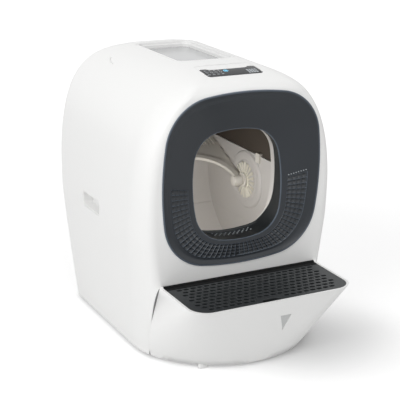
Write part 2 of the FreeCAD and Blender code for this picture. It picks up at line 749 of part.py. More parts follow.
def make_bezel(outer):
    """Shallow dished ring: proud flange, short step, dish that falls to the entrance lip."""
    flange = faceted([bezel_loop(0, -BEZEL_PROUD), bezel_loop(0, WALL)]).cut(outer)
    lip_back = LIP_DEPTH + MOULD_WALL
    body = faceted([bezel_loop(0, -BEZEL_PROUD, BEZEL_SPIGOT_INSET), bezel_loop(0, WALL, BEZEL_SPIGOT_INSET),
                    bezel_loop(BEZEL_STEP_SHARE, BEZEL_STEP_DEPTH + MOULD_WALL, BEZEL_SPIGOT_INSET / 2),
                    bezel_loop(1, lip_back, -MOULD_WALL, LIP_TILT)])
    front = faceted([bezel_loop(0, -BEZEL_PROUD - CUT_OVER, BEZEL_RIM - CUT_OVER),
                     bezel_loop(BEZEL_STEP_SHARE, BEZEL_STEP_DEPTH, 0.0),
                     bezel_loop(1, LIP_DEPTH, 0.0, LIP_TILT)])
    mouth = faceted([lip_loop(LIP_DEPTH, 0.0, LIP_TILT), lip_loop(lip_back + BEZEL_RIM, 0.0, LIP_TILT)])
    return flange.fuse(body).cut([front, mouth])


def make_throat():
    """Short dark collar from the bezel's lip into the tub."""
    start = LIP_DEPTH + MOULD_WALL + GAP
    outer = faceted([lip_loop(start, MOULD_WALL, LIP_TILT), lip_loop(THROAT_END, MOULD_WALL)])
    inner = faceted([lip_loop(start - CUT_OVER, 0.0, LIP_TILT), lip_loop(THROAT_END + CUT_OVER, 0.0)])
    return outer.cut(inner)


def throat_cut():
    """The hole that the collar needs in the tub and the hood."""
    return throat_bore(MOULD_WALL + GAP, LIP_DEPTH, THROAT_END + TUB_WALL)


def tub_form(outset, half_width, top):
    """The tub's solid form: round below and behind the scoop's axis, upright in front above it."""
    radius = TUB_RADIUS + outset
    front = AXIS_DEPTH - radius
    rise = math.degrees(math.asin((top - AXIS_HEIGHT) / radius))

    def place(u, v):
        return Vector(-half_width, u, v)
    bowl = arc_edge((AXIS_DEPTH, AXIS_HEIGHT), radius, 180.0, 360.0 + rise, place)
    front_top = place(front, top)
    wire = Part.Wire([Part.makeLine(front_top, place(front, AXIS_HEIGHT)), bowl,
                      Part.makeLine(bowl.lastVertex(True).Point, front_top)])
    return Part.Face(wire).extrude(Vector(2.0 * half_width, 0, 0))


def tub_shell():
    """The whole tub before it is parted at the seam: walls, rim flange, mouth, waste port and shaft holes."""
    shell = tub_form(TUB_WALL, TUB_OUTER_X, TUB_RIM_HEIGHT)
    flange_x = TUB_OUTER_X + RIM_FLANGE
    flange = block(-flange_x, flange_x, AXIS_DEPTH - TUB_RADIUS - RIM_FLANGE, HOOD_BACK + TUB_WALL + HOOD_STEP,
                   TUB_RIM_HEIGHT - TUB_WALL, TUB_RIM_HEIGHT)
    port = block(-PORT_HALF_WIDTH, PORT_HALF_WIDTH, 0.0, AXIS_DEPTH - TUB_RADIUS / 2.0, PORT_LOW, PORT_HIGH)
    shafts = rod_x(BUSH_RADIUS + GAP, -BIG, BIG, AXIS_DEPTH, AXIS_HEIGHT)
    return shell.fuse(flange).cut([tub_form(0.0, TUB_HALF_WIDTH, TUB_RIM_HEIGHT + TUB_WALL), throat_cut(), port,
                                   shafts])


def make_tub(shell):
    """The tub in two pieces: the litter tray below the seam and the wall above it."""
    below = block(-BIG, BIG, -BIG, BIG, 0.0, TUB_SEAM_HEIGHT)
    above = block(-BIG, BIG, -BIG, BIG, TUB_SEAM_HEIGHT + GAP, TUB_RIM_HEIGHT + TUB_WALL)
    return shell.common(below), shell.common(above)


def hood_form(outset, bottom):
    """The hood's solid form, with a round upper corner at the back."""
    half_width = TUB_HALF_WIDTH + HOOD_STEP + outset
    front = AXIS_DEPTH - TUB_RADIUS - HOOD_STEP - outset
    back = HOOD_BACK + outset
    top = HOOD_ROOF + outset
    corner = HOOD_CORNER + outset

    def place(u, v):
        return Vector(-half_width, u, v)
    bend = arc_edge((back - corner, top - corner), corner, 0.0, 90.0, place)
    wire = Part.Wire([Part.makeLine(place(back, bottom), place(back, top - corner)), bend,
                      Part.makeLine(place(back - corner, top), place(front, top)),
                      Part.makeLine(place(front, top), place(front, bottom)),
                      Part.makeLine(place(front, bottom), place(back, bottom))])
    return Part.Face(wire).extrude(Vector(2.0 * half_width, 0, 0))


def filter_slots():
    """Slots in the hood's roof under the odour filter."""
    pitch = 2.0 * FILTER_HALF_WIDTH / GRILLE_SLOTS
    first = -FILTER_HALF_WIDTH + pitch / 2.0
    return [block(first + pitch * k - pitch / 4.0, first + pitch * k + pitch / 4.0, FILTER_FRONT + pitch,
                  FILTER_FRONT + FILTER_LENGTH - pitch, HOOD_ROOF - TUB_WALL, HOOD_ROOF + 2.0 * TUB_WALL)
            for k in range(GRILLE_SLOTS)]


def make_hood():
    """Dark hood over the tub, with the mouth, filter slots and sensor holes."""
    shell = hood_form(TUB_WALL, TUB_RIM_HEIGHT + GAP).cut(hood_form(0.0, TUB_RIM_HEIGHT - TUB_WALL))
    radius = SENSOR_RADIUS + SHAFT_GAP
    sensors = [drum_z([(radius, HOOD_ROOF - TUB_WALL), (radius, HOOD_ROOF + 2.0 * TUB_WALL)], side * SENSOR_X,
                      SENSOR_DEPTH) for side in (-1, 1)]
    return shell.cut([throat_cut()] + sensors + filter_slots())


def make_latch():
    """Right latch: hangs from the hood's wall over the tub's rim."""
    inner_x = TUB_HALF_WIDTH - HOOD_STEP
    y0 = LATCH_DEPTH - LATCH_WIDTH / 2.0
    y1 = LATCH_DEPTH + LATCH_WIDTH / 2.0
    top = TUB_RIM_HEIGHT + LATCH_RISE
    tongue = block(inner_x, TUB_HALF_WIDTH - GAP, y0, y1, TUB_RIM_HEIGHT - LATCH_DROP, top)
    head = block(inner_x, TUB_HALF_WIDTH + HOOD_STEP, y0, y1, TUB_RIM_HEIGHT + GAP, top)
    return join([tongue, head])


def make_boss():
    """Right hub boss: a round bevelled plate on the tub's side wall."""
    face_x = TUB_HALF_WIDTH - BOSS_HEIGHT
    plate = drum_x([(BOSS_RADIUS - BOSS_BEVEL, face_x), (BOSS_RADIUS, TUB_HALF_WIDTH)], AXIS_DEPTH, AXIS_HEIGHT,
                   WIDE_ROUND_SIDES)
    return plate.cut(rod_x(SHAFT_RADIUS + GAP, face_x - CUT_OVER, TUB_HALF_WIDTH + CUT_OVER, AXIS_DEPTH,
                           AXIS_HEIGHT))


def make_cradle():
    """Right side frame: carries the shaft's bush and the tub's weight down to the base pan."""
    foot = CRADLE_HALF_FOOT
    head = CRADLE_HALF_FOOT - CRADLE_LEAN
    x0 = CRADLE_X
    x1 = CRADLE_X + CRADLE_THICKNESS
    outline = [(AXIS_DEPTH - foot, PAN_FLOOR), (AXIS_DEPTH + foot, PAN_FLOOR), (AXIS_DEPTH + head, CRADLE_TOP),
               (AXIS_DEPTH - head, CRADLE_TOP)]
    window = pad_x(AXIS_DEPTH - foot / 2.0, AXIS_DEPTH + foot / 2.0, 2.0 * RAIL_HEIGHT, AXIS_HEIGHT - foot,
                   x0 - CUT_OVER, x1 + CUT_OVER, GRIP_CORNER)
    bore = rod_x(BUSH_RADIUS + SHAFT_GAP, x0 - CUT_OVER, x1 + CUT_OVER, AXIS_DEPTH, AXIS_HEIGHT)
    return prism_x(outline, x0, x1).cut([window, bore])


def make_bush():
    """Right bush: plain bearing through the side frame and the tub's wall, with an outer flange."""
    sleeve = rod_x(BUSH_RADIUS, TUB_HALF_WIDTH + GAP, CRADLE_X + CRADLE_THICKNESS, AXIS_DEPTH, AXIS_HEIGHT)
    flange = rod_x(BUSH_FLANGE, CRADLE_X + CRADLE_THICKNESS, CRADLE_X + CRADLE_THICKNESS + BUSH_FLANGE_THICKNESS,
                   AXIS_DEPTH, AXIS_HEIGHT)
    return sleeve.fuse(flange).cut(rod_x(SHAFT_RADIUS + SHAFT_GAP, HUB_INNER_X, BIG, AXIS_DEPTH, AXIS_HEIGHT))


def scoop_place(shape):
    """Turns a shape drawn on the axis, reaching along +Y, to the scoop's parked incline."""
    shape.rotate(Vector(0, 0, 0), Vector(1, 0, 0), SCOOP_INCLINE)
    shape.translate(Vector(0, AXIS_DEPTH, AXIS_HEIGHT))
    return shape


def cutout_form(outset, low, high):
    """The comb's squircle cut-out, moved outwards, between two levels of its thickness."""
    outline = squircle(CUTOUT_HALF_WIDTH + outset, CUTOUT_REACH + outset, CUTOUT_POWER,
                       lambda u, v: Vector(u, v, low))
    return polygon_face(outline).extrude(Vector(0, 0, high - low))


def tine_slots():
    """The slots between the comb's tines, open at the tip."""
    first = -TINE_PITCH * (TINE_COUNT - 1) / 2.0
    level = 2.0 * SCOOP_THICKNESS
    return [block(first + TINE_PITCH * k - TINE_SLOT / 2.0, first + TINE_PITCH * k + TINE_SLOT / 2.0, TINE_ROOT,
                  SCOOP_REACH + CUT_OVER, -level, level) for k in range(TINE_COUNT)]


def make_comb():
    """U-shaped comb: two arms to the hubs, a raised rim round the cut-out, and a row of tines."""
    half = SCOOP_THICKNESS / 2.0
    outline = pad_z(-SCOOP_HALF_WIDTH, SCOOP_HALF_WIDTH, -SCOOP_HEEL, SCOOP_REACH, -half, half, SCOOP_CORNER)
    rim = cutout_form(SCOOP_RIM_WIDTH, half, half + SCOOP_RIM_RISE)
    rim = rim.common(block(-BIG, BIG, -SCOOP_HEEL, BIG, 0.0, BIG))
    hubs = []
    for side in (-1, 1):
        x0, x1 = sorted((side * (HUB_INNER_X - CUT_OVER), side * (SCOOP_HALF_WIDTH + CUT_OVER)))
        hubs.append(rod_x(HUB_RADIUS + GAP, x0, x1, 0.0, 0.0))
        x0, x1 = sorted((side * (HUB_FLANGE_X - GAP), side * (HUB_FLANGE_X + HUB_FLANGE_THICKNESS + GAP)))
        hubs.append(rod_x(HUB_FLANGE_RADIUS + GAP, x0, x1, 0.0, 0.0))
        x0, x1 = sorted((side * (HUB_INNER_X - CUT_OVER), side * (SCOOP_HALF_WIDTH + CUT_OVER)))
        hubs.append(block(x0, x1, -SCOOP_HEEL - CUT_OVER, 0.0, -BIG, BIG))
    comb = outline.fuse(rim).cut([cutout_form(0.0, -BIG, BIG)] + hubs + tine_slots())
    return scoop_place(comb)


def make_hub():
    """Right hub: a capped sleeve with a flange, on the shaft's end."""
    flange_end = HUB_FLANGE_X + HUB_FLANGE_THICKNESS
    hub = drum_x([(HUB_RADIUS, HUB_INNER_X), (HUB_RADIUS, HUB_FLANGE_X), (HUB_FLANGE_RADIUS, HUB_FLANGE_X),
                  (HUB_FLANGE_RADIUS, flange_end), (HUB_RADIUS, flange_end), (HUB_RADIUS, SCOOP_HALF_WIDTH)],
                 AXIS_DEPTH, AXIS_HEIGHT, 2 * ROUND_SIDES)
    return hub.cut(rod_x(SHAFT_RADIUS + SHAFT_GAP, HUB_INNER_X + HUB_CAP, BIG, AXIS_DEPTH, AXIS_HEIGHT))


def toothed_outline(count, profile, x, phase):
    """A wheel's outline about the scoop's axis; profile gives one pitch as (share of the pitch, radius)."""
    points = []
    for k in range(count):
        for share, radius in profile:
            turn = math.radians(phase + 360.0 * (k + share) / count)
            points.append(Vector(x, AXIS_DEPTH + radius * math.cos(turn), AXIS_HEIGHT + radius * math.sin(turn)))
    return polygon_face(points)


def make_brush():
    """Right hub brush: a core with a ring of tufts that sweep the boss."""
    profile = [(-TUFT_ROOT_SHARE, BRUSH_CORE_RADIUS), (-TUFT_TIP_SHARE, BRUSH_RADIUS),
               (TUFT_TIP_SHARE, BRUSH_RADIUS), (TUFT_ROOT_SHARE, BRUSH_CORE_RADIUS)]
    x = TUB_HALF_WIDTH - BOSS_HEIGHT - GAP - BRUSH_THICKNESS
    star = toothed_outline(BRUSH_TUFTS, profile, x, 0.0).extrude(Vector(BRUSH_THICKNESS, 0, 0))
    return star.cut(rod_x(SHAFT_RADIUS + SHAFT_GAP, x - CUT_OVER, TUB_HALF_WIDTH, AXIS_DEPTH, AXIS_HEIGHT))


def make_shaft(outer_x):
    """Right shaft, from inside the hub to its outer end."""
    return rod_x(SHAFT_RADIUS, HUB_INNER_X + HUB_CAP + GAP, outer_x, AXIS_DEPTH, AXIS_HEIGHT)


def tooth_profile(pitch_radius, slim):
    """One gear tooth, centred on share 0, a little slimmer than its gap."""
    root = pitch_radius - TOOTH_ROOT_DEPTH * GEAR_MODULE
    tip = pitch_radius + TOOTH_TIP_RISE * GEAR_MODULE
    foot = TOOTH_ROOT_SHARE - slim
    return [(-foot, root), (-TOOTH_TIP_SHARE, tip), (TOOTH_TIP_SHARE, tip), (foot, root)]


def make_gear():
    """Spur gear on the drive shaft."""
    face = toothed_outline(GEAR_TEETH, tooth_profile(GEAR_MODULE * GEAR_TEETH / 2.0, 0.0), GEAR_X, 0.0)
    gear = face.extrude(Vector(GEAR_WIDTH, 0, 0))
    collar = rod_x(GEAR_COLLAR, GEAR_X + GEAR_WIDTH, GEAR_X + GEAR_WIDTH + GEAR_CLEAR, AXIS_DEPTH, AXIS_HEIGHT)
    bore = rod_x(SHAFT_RADIUS + SHAFT_GAP, GEAR_X - CUT_OVER, BIG, AXIS_DEPTH, AXIS_HEIGHT)
    return gear.fuse(collar).cut(bore)


def pinion_centre():
    """Where the motor's pinion meshes with the gear: (y, z)."""
    reach = GEAR_MODULE * (GEAR_TEETH + PINION_TEETH) / 2.0
    turn = math.radians(PINION_ANGLE)
    return AXIS_DEPTH + reach * math.cos(turn), AXIS_HEIGHT + reach * math.sin(turn)


def make_pinion():
    """Motor pinion with its shaft, a gap turned towards the gear's tooth."""
    y, z = pinion_centre()
    phase = PINION_ANGLE + 180.0 + 180.0 / PINION_TEETH
    profile = tooth_profile(GEAR_MODULE * PINION_TEETH / 2.0, PINION_TOOTH_SLIM)
    wheel = toothed_outline(PINION_TEETH, profile, GEAR_X, phase).extrude(Vector(GEAR_WIDTH, 0, 0))
    wheel.translate(Vector(0, y - AXIS_DEPTH, z - AXIS_HEIGHT))
    x = GEAR_X + GEAR_WIDTH
    return wheel.fuse(rod_x(PINION_SHAFT_RADIUS, x, x + PINION_SHAFT_LENGTH, y, z))


def make_motor():
    """Gear motor, on the bracket's outer face."""
    y, z = pinion_centre()
    face_x = BRACKET_X + BRACKET_THICKNESS
    can = rod_x(MOTOR_RADIUS, face_x, face_x + MOTOR_LENGTH, y, z)
    shaft_end = GEAR_X + GEAR_WIDTH + PINION_SHAFT_LENGTH
    bore = rod_x(PINION_SHAFT_RADIUS + SHAFT_GAP, face_x - CUT_OVER, shaft_end + GAP, y, z)
    ears = block(face_x, face_x + BRACKET_THICKNESS, y - BRACKET_OUTREACH, y + BRACKET_OUTREACH,
                 z - BRACKET_POST / 2.0, z + BRACKET_POST / 2.0)
    return can.fuse(ears).cut(bore)


def make_bracket():
    """Motor bracket: a plate on posts from the right side frame, clear of the gear."""
    y, z = pinion_centre()
    low = z - BRACKET_OUTREACH
    plate = block(BRACKET_X, BRACKET_X + BRACKET_THICKNESS, y - BRACKET_OUTREACH, y + BRACKET_OUTREACH, low,
                  z + MOTOR_RADIUS)
    frame_x = CRADLE_X + CRADLE_THICKNESS
    posts = [block(frame_x, BRACKET_X, edge, edge + BRACKET_POST, low, low + BRACKET_POST)
             for edge in (y - BRACKET_OUTREACH, y + BRACKET_OUTREACH - BRACKET_POST)]
    hole = rod_x(PINION_SHAFT_RADIUS + BRACKET_HOLE_CLEAR, BRACKET_X - CUT_OVER,
                 BRACKET_X + BRACKET_THICKNESS + CUT_OVER, y, z)
    return join([plate] + posts).cut(hole)


def make_base_pan():
    """Base pan inside the housing's foot, with posts for the board and a bay for the drawer."""
    outline = body_section(FOOT_HEIGHT, WALL + GAP, INNER_CHORDS)
    plate = polygon_face(outline).extrude(Vector(0, 0, PAN_THICKNESS))
    posts = [drum_z([(PAN_THICKNESS, PAN_FLOOR), (PAN_THICKNESS, BOARD_HEIGHT)], x, y) for x, y in board_posts()]
    holes = [screw_hole(x, y, 2.0 * PAN_FLOOR) for x, y in pillar_places()]
    return plate.fuse(posts).cut(holes + [before_seam(0.0, STEP_HEIGHT)])


def board_posts():
    """The main board's four corners: (x, y)."""
    reach = BOARD_LENGTH / 2.0 - PAN_THICKNESS
    return [(x, y) for x in (-reach, reach) for y in (BOARD_FRONT + PAN_THICKNESS,
                                                      BOARD_FRONT + BOARD_WIDTH - PAN_THICKNESS)]


def foot_places():
    """The four feet: (x, y)."""
    return [(side * x, y) for x, y in (FOOT_FRONT, FOOT_REAR) for side in (-1, 1)]


def make_feet():
    """Four rubber feet with a bevelled sole."""
    steps = [(FOOT_RADIUS - FOOT_BEVEL, 0.0), (FOOT_RADIUS, FOOT_BEVEL), (FOOT_RADIUS, FOOT_HEIGHT)]
    return Part.makeCompound([drum_z(steps, x, y, 2 * ROUND_SIDES) for x, y in foot_places()])


def make_cells():
    """Four weighing bars on the pan above the feet, each with its strain window."""
    cells = []
    for x, y in foot_places():
        bar = block(x - CELL_WIDTH / 2.0, x + CELL_WIDTH / 2.0, y - CELL_LENGTH / 2.0, y + CELL_LENGTH / 2.0,
                    PAN_FLOOR, PAN_FLOOR + CELL_HEIGHT)
        window = block(x - CELL_WIDTH / 3.0, x + CELL_WIDTH / 3.0, y - CELL_WIDTH, y + CELL_WIDTH, 0.0, BIG)
        cells.append(bar.cut(window))
    return Part.makeCompound(cells)


def make_case_screws():
    """Screws from below through the base pan into the housing's pillars."""
    top = PILLAR_TOP - 2.0 * WALL
    steps = [(SCREW_HEAD, FOOT_HEIGHT - SCREW_HEAD_THICKNESS), (SCREW_HEAD, FOOT_HEIGHT),
             (SCREW_RADIUS, FOOT_HEIGHT), (SCREW_RADIUS, top)]
    return Part.makeCompound([drum_z(steps, x, y) for x, y in pillar_places()])


def make_rail():
    """Right drawer rail: an upright guide with a shelf under the bin."""
    guide_x = BIN_HALF_WIDTH + BIN_CLEARANCE
    guide = block(guide_x, guide_x + RAIL_THICKNESS, RAIL_FRONT, BIN_BACK, PAN_FLOOR, PAN_FLOOR + RAIL_HEIGHT)
    shelf = block(guide_x - RAIL_SHELF, guide_x, RAIL_FRONT, BIN_BACK, PAN_FLOOR, BIN_FLOOR - GAP)
    return join([guide, shelf])


def make_rear_panel(wall):
    """Curved service panel in the back, with a column of vents and the power inlet's hole."""
    panel = wall.common(rear_pad(-GAP))
    vents = [block(-VENT_LENGTH / 2.0, VENT_LENGTH / 2.0, MIDDLE_DEPTH, BIG, VENT_LOW + VENT_PITCH * k,
                   VENT_LOW + VENT_PITCH * k + VENT_WIDTH) for k in range(VENT_COUNT)]
    return panel.cut(vents + [inlet_drum(INLET_RADIUS + GAP, MIDDLE_DEPTH)])


def inlet_drum(radius, start):
    """A round bar along the power inlet's axis, from a depth out through the back."""
    return drum_y([(radius, start), (radius, BODY_DEPTH)], INLET_X, INLET_HEIGHT, 2 * ROUND_SIDES)


def make_inlet(outer):
    """Round low-voltage power inlet, flush with the back."""
    start = body_back(INLET_HEIGHT) - INLET_LENGTH
    return inlet_drum(INLET_RADIUS, start).common(outer).cut(inlet_drum(INLET_BORE, start + WALL))


def make_chute():
    """Waste chute from the tub's port down over the bin's rear half."""
    top = PORT_HIGH + TUB_WALL
    rear = AXIS_DEPTH - CHUTE_REAR_SETBACK
    wall = TUB_WALL

    def above_bin(y):
        return bin_rim_height(y) + BAG_FRAME_THICKNESS + CHUTE_CLEARANCE
    outline = [(CHUTE_FRONT + CHUTE_LEAN, top), (CHUTE_FRONT, above_bin(CHUTE_FRONT)), (rear, above_bin(rear)),
               (rear - wall, PORT_LOW + wall), (AXIS_DEPTH - TUB_RADIUS / 2.0, PORT_LOW + wall),
               (AXIS_DEPTH - TUB_RADIUS / 2.0, top)]
    space = [(CHUTE_FRONT + CHUTE_LEAN + wall, top - wall), (CHUTE_FRONT + wall, above_bin(CHUTE_FRONT)),
             (CHUTE_FRONT + wall, PAN_FLOOR), (rear - wall, PAN_FLOOR),
             (rear - 2.0 * wall, PORT_LOW + wall / 2.0), (AXIS_DEPTH, PORT_LOW + wall / 2.0),
             (AXIS_DEPTH, top - wall)]
    half = PORT_HALF_WIDTH + wall
    chute = prism_x(outline, -half, half).cut(prism_x(space, -PORT_HALF_WIDTH, PORT_HALF_WIDTH))
    return chute.cut(rod_x(TUB_RADIUS + TUB_WALL + GAP, -BIG, BIG, AXIS_DEPTH, AXIS_HEIGHT))


def bin_rim_height(y):
    """Height of the waste bin's rim: level under the step, falling to the back."""
    share = max(0.0, (y - BIN_RIM_BEND) / (BIN_BACK - BIN_RIM_BEND))
    return BIN_RIM - (BIN_RIM - BIN_BACK_HEIGHT) * share


def prow_outline(half_width, front, corner, back, z):
    """A level outline that is square behind and has two round corners in front."""
    w = half_width

    def place(u, v):
        return Vector(u, v, z)
    left = arc_points((corner - w, front + corner), corner, 180.0, 270.0, place, PROW_CHORDS)
    right = arc_points((w - corner, front + corner), corner, 270.0, 360.0, place, PROW_CHORDS)
    return closed_outline([left, right, [place(w, back), place(-w, back)]])


def step_outline(inset, z, back):
    """The step's rounded outline at a height, moved inwards."""
    return prow_outline(STEP_HALF_WIDTH - inset, -STEP_REACH + inset, STEP_CORNER - inset, back, z)


def prow_form(inset):
    """The drawer's prow before its back is cut: the front corners widen downwards to one arc on the floor."""
    back = STEP_FLOOR_FRONT + STEP_FLOOR_RADIUS + STEP_CORNER
    radius = STEP_FLOOR_RADIUS - inset
    floor = prow_outline(radius, STEP_FLOOR_FRONT + inset, radius - PROW_FLAT, back, 0.0)
    return faceted([floor, step_outline(inset, STEP_HEIGHT, back)])


def step_form(inset):
    """The drawer's form, cut off in front of the slanted seam."""
    return prow_form(inset).common(before_seam(STEP_GAP + inset, STEP_HEIGHT + BARREL_RADIUS))


def step_slab(inset, z0, z1, back):
    """A level slab with the step's outline, moved inwards."""
    return polygon_face(step_outline(inset, z0, back)).extrude(Vector(0, 0, z1 - z0))


def make_drawer_shell():
    """Front drawer shell: hollow prow with a stepped rim for the tread and ears for its hinge."""
    outer = step_form(0.0)
    shell = outer.cut(step_form(STEP_WALL).cut(block(-BIG, BIG, -BIG, BIG, 0.0, FOOT_HEIGHT + STEP_WALL)))
    ledge_low = TREAD_BOTTOM - GAP - STEP_WALL
    rim = outer.common(block(-BIG, BIG, -BIG, BIG, ledge_low, STEP_HEIGHT))
    shell = shell.fuse(rim)
    pocket = step_slab(TREAD_RIM, TREAD_BOTTOM - GAP, BIG, WALL)
    well = step_slab(TREAD_RIM + TREAD_LEDGE, ledge_low - CUT_OVER, BIG, TREAD_BACK - TREAD_LEDGE)
    half = BIN_HALF_WIDTH + BIN_CLEARANCE
    window = block(-half, half, -STEP_REACH / 4.0, BODY_DEPTH, FOOT_HEIGHT + STEP_WALL, ledge_low)
    window = window.common(prow_form(STEP_WALL))
    shell = shell.cut([pocket, well, window, block(-BIG, BIG, -BIG, BIG, -WALL, FOOT_HEIGHT)])
    inner_x = STEP_HALF_WIDTH - TREAD_RIM
    ears = []
    for side in (-1, 1):
        x0, x1 = sorted((side * inner_x, side * STEP_HALF_WIDTH))
        ears.append(rod_x(BARREL_RADIUS, x0, x1, BARREL_DEPTH, BARREL_HEIGHT))
    bore = rod_x(PIN_RADIUS + SHAFT_GAP, PIN_SINK - STEP_HALF_WIDTH, STEP_HALF_WIDTH - PIN_SINK, BARREL_DEPTH,
                 BARREL_HEIGHT)
    return shell.fuse(ears).cut(bore)


def make_tread():
    """Hinged tread plate with staggered holes, a finger notch and a hinge barrel along its back."""
    inset = TREAD_RIM + GAP
    plate = step_slab(inset, TREAD_BOTTOM, TREAD_TOP, TREAD_BACK)
    half = STEP_HALF_WIDTH - inset
    barrel = rod_x(BARREL_RADIUS, -half, half, BARREL_DEPTH, BARREL_HEIGHT)
    web = block(-half, half, TREAD_BACK, BARREL_DEPTH, TREAD_BOTTOM + TREAD_WEB_RISE, TREAD_TOP)
    holes = []
    for row in range(TREAD_ROWS):
        y = TREAD_FIRST_ROW + TREAD_PITCH_Y * row
        count = TREAD_COLUMNS - row % 2
        for k in range(count):
            x = TREAD_PITCH_X * (k - (count - 1) / 2.0)
            holes.append(block(x - TREAD_HOLE_X / 2.0, x + TREAD_HOLE_X / 2.0, y - TREAD_HOLE_Y / 2.0,
                               y + TREAD_HOLE_Y / 2.0, 0.0, BIG))
    front = -STEP_REACH + inset
    notch = pad_z(NOTCH_CENTRE - NOTCH_WIDTH / 2.0, NOTCH_CENTRE + NOTCH_WIDTH / 2.0, front - NOTCH_DEPTH,
                  front + NOTCH_DEPTH, 0.0, BIG, NOTCH_CORNER)
    bores = []
    for side in (-1, 1):
        x0, x1 = sorted((side * (PIN_OUTER_X - PIN_LENGTH), side * PIN_OUTER_X))
        bores.append(rod_x(PIN_RADIUS + SHAFT_GAP, x0, x1, BARREL_DEPTH, BARREL_HEIGHT))
    return plate.fuse([web, barrel]).removeSplitter().cut(holes + bores + [notch])


def make_hinge_pin():
    """Right hinge pin, from the drawer's ear into the tread's barrel."""
    return rod_x(PIN_RADIUS, PIN_OUTER_X - PIN_LENGTH + GAP, PIN_OUTER_X, BARREL_DEPTH, BARREL_HEIGHT)


def bin_outline(inset, z=0.0):
    """The bin's rounded outline at its rim, moved inwards and drawn at a height."""
    return prow_outline(BIN_HALF_WIDTH - inset, BIN_FRONT + inset, BIN_CORNER - inset, BIN_BACK - inset, z)


def bin_form(inset, floor):
    """The bin's form: a rounded box whose front corners widen to one arc at its floor."""
    w = BIN_HALF_WIDTH - inset
    bottom = prow_outline(w, BIN_FLOOR_FRONT + inset, w - PROW_FLAT, BIN_BACK - inset, floor)
    return faceted([bottom, bin_outline(inset, BIN_RIM)])


def rim_band(low, high):
    """A slab that follows the bin's rim, between two distances above it."""
    line = [BIN_FRONT - BIN_CORNER, BIN_RIM_BEND, BIN_BACK]
    outline = [(y, bin_rim_height(y) + low) for y in line] + [(y, bin_rim_height(y) + high) for y in line[::-1]]
    return prism_x(outline, -BIG, BIG)


def make_bin():
    """Waste bin with a rim that falls to the back, and two ribs that stand on the drawer's floor."""
    below_rim = rim_band(-BIG, 0.0)
    shell = bin_form(0.0, BIN_FLOOR).common(below_rim).cut(
        bin_form(BIN_WALL, BIN_FLOOR).cut(block(-BIG, BIG, -BIG, BIG, 0.0, BIN_FLOOR + BIN_WALL)))
    reach = BIN_HALF_WIDTH / 2.0
    ribs = [block(side * reach - BIN_WALL, side * reach + BIN_WALL, BIN_FRONT / 2.0, BIN_RIM_BEND,
                  FOOT_HEIGHT + STEP_WALL, BIN_FLOOR) for side in (-1, 1)]
    return join([shell] + ribs)


def make_bag_frame():
    """Loose frame on the bin's rim that clamps the bag's edge."""
    slab = rim_band(0.0, BAG_FRAME_THICKNESS)
    outer = polygon_face(bin_outline(0.0)).extrude(Vector(0, 0, BIG)).common(slab)
    return outer.cut(polygon_face(bin_outline(BAG_FRAME_INSET)).extrude(Vector(0, 0, BIG)))


def make_top_tray(outer):
    """Lift-off tray in the top: stepped rim, walls and a flat floor."""
    tray = tray_pad(-GAP, TRAY_FLOOR_HEIGHT, BIG).common(outer)
    return tray.cut([tray_pad(-TRAY_STEP, TRAY_STEP_HEIGHT, BIG),
                     tray_pad(-TRAY_STEP - TRAY_WALL, TRAY_FLOOR_HEIGHT + TRAY_WALL, BIG)])


def make_mat():
    """Smooth mat on the tray's floor."""
    floor = TRAY_FLOOR_HEIGHT + TRAY_WALL
    return tray_pad(-TRAY_STEP - TRAY_WALL - GAP, floor, floor + MAT_THICKNESS)


def make_touch_board(inner):
    """Touch board under the control strip, on spacers that reach the strip's underside."""
    y0 = PANEL_FRONT + PANEL_CORNER
    y1 = PANEL_BACK - PANEL_CORNER
    half = PANEL_HALF_WIDTH - PANEL_CORNER
    z0 = body_top(y0) - TOUCH_BOARD_DROP
    z1 = body_top(y1) - TOUCH_BOARD_DROP
    board = prism_x([(y0, z0 - BOARD_THICKNESS), (y1, z1 - BOARD_THICKNESS), (y1, z1), (y0, z0)], -half, half)
    middle = (y0 + y1) / 2.0
    low = (z0 + z1 - BOARD_THICKNESS) / 2.0
    reach = PANEL_CORNER / 2.0
    spacers = [block(x - reach, x + reach, middle - PANEL_CORNER, middle + PANEL_CORNER, low, BIG).common(inner)
               for x in (-half / 2.0, half / 2.0)]
    return join([board] + spacers)


def body_top(y):
    """Height of the body's top on its middle line, at a depth in front of the middle."""
    low = FRONT_TOP_START
    high = BODY_HEIGHT
    for _ in range(40):
        z = (low + high) / 2.0
        if body_front(z) < y:
            low = z
        else:
            high = z
    return low


def make_main_board():
    """Control board with a few blocks for its parts, on the pan's posts."""
    half = BOARD_LENGTH / 2.0
    top = BOARD_HEIGHT + BOARD_THICKNESS
    board = block(-half, half, BOARD_FRONT, BOARD_FRONT + BOARD_WIDTH, BOARD_HEIGHT, top)
    middle = BOARD_FRONT + PROCESSOR_DEPTH
    relay_y = BOARD_FRONT + RELAY_DEPTH
    plug_y = BOARD_FRONT + PLUG_DEPTH
    chips = [block(-PROCESSOR_HALF, PROCESSOR_HALF, middle - PROCESSOR_HALF, middle + PROCESSOR_HALF, top,
                   top + PROCESSOR_HEIGHT),
             block(RELAY_X, RELAY_X + RELAY_LENGTH, relay_y, relay_y + RELAY_WIDTH, top, top + RELAY_HEIGHT),
             rod_z(CAPACITOR_RADIUS, CAPACITOR_X, BOARD_FRONT + CAPACITOR_DEPTH, top, top + CAPACITOR_HEIGHT)]
    plugs = [block(PLUG_FIRST_X + PLUG_PITCH * k, PLUG_FIRST_X + PLUG_PITCH * k + PLUG_LENGTH, plug_y,
                   plug_y + PLUG_WIDTH, top, top + PLUG_HEIGHT) for k in range(PLUG_COUNT)]
    return join([board] + chips + plugs)


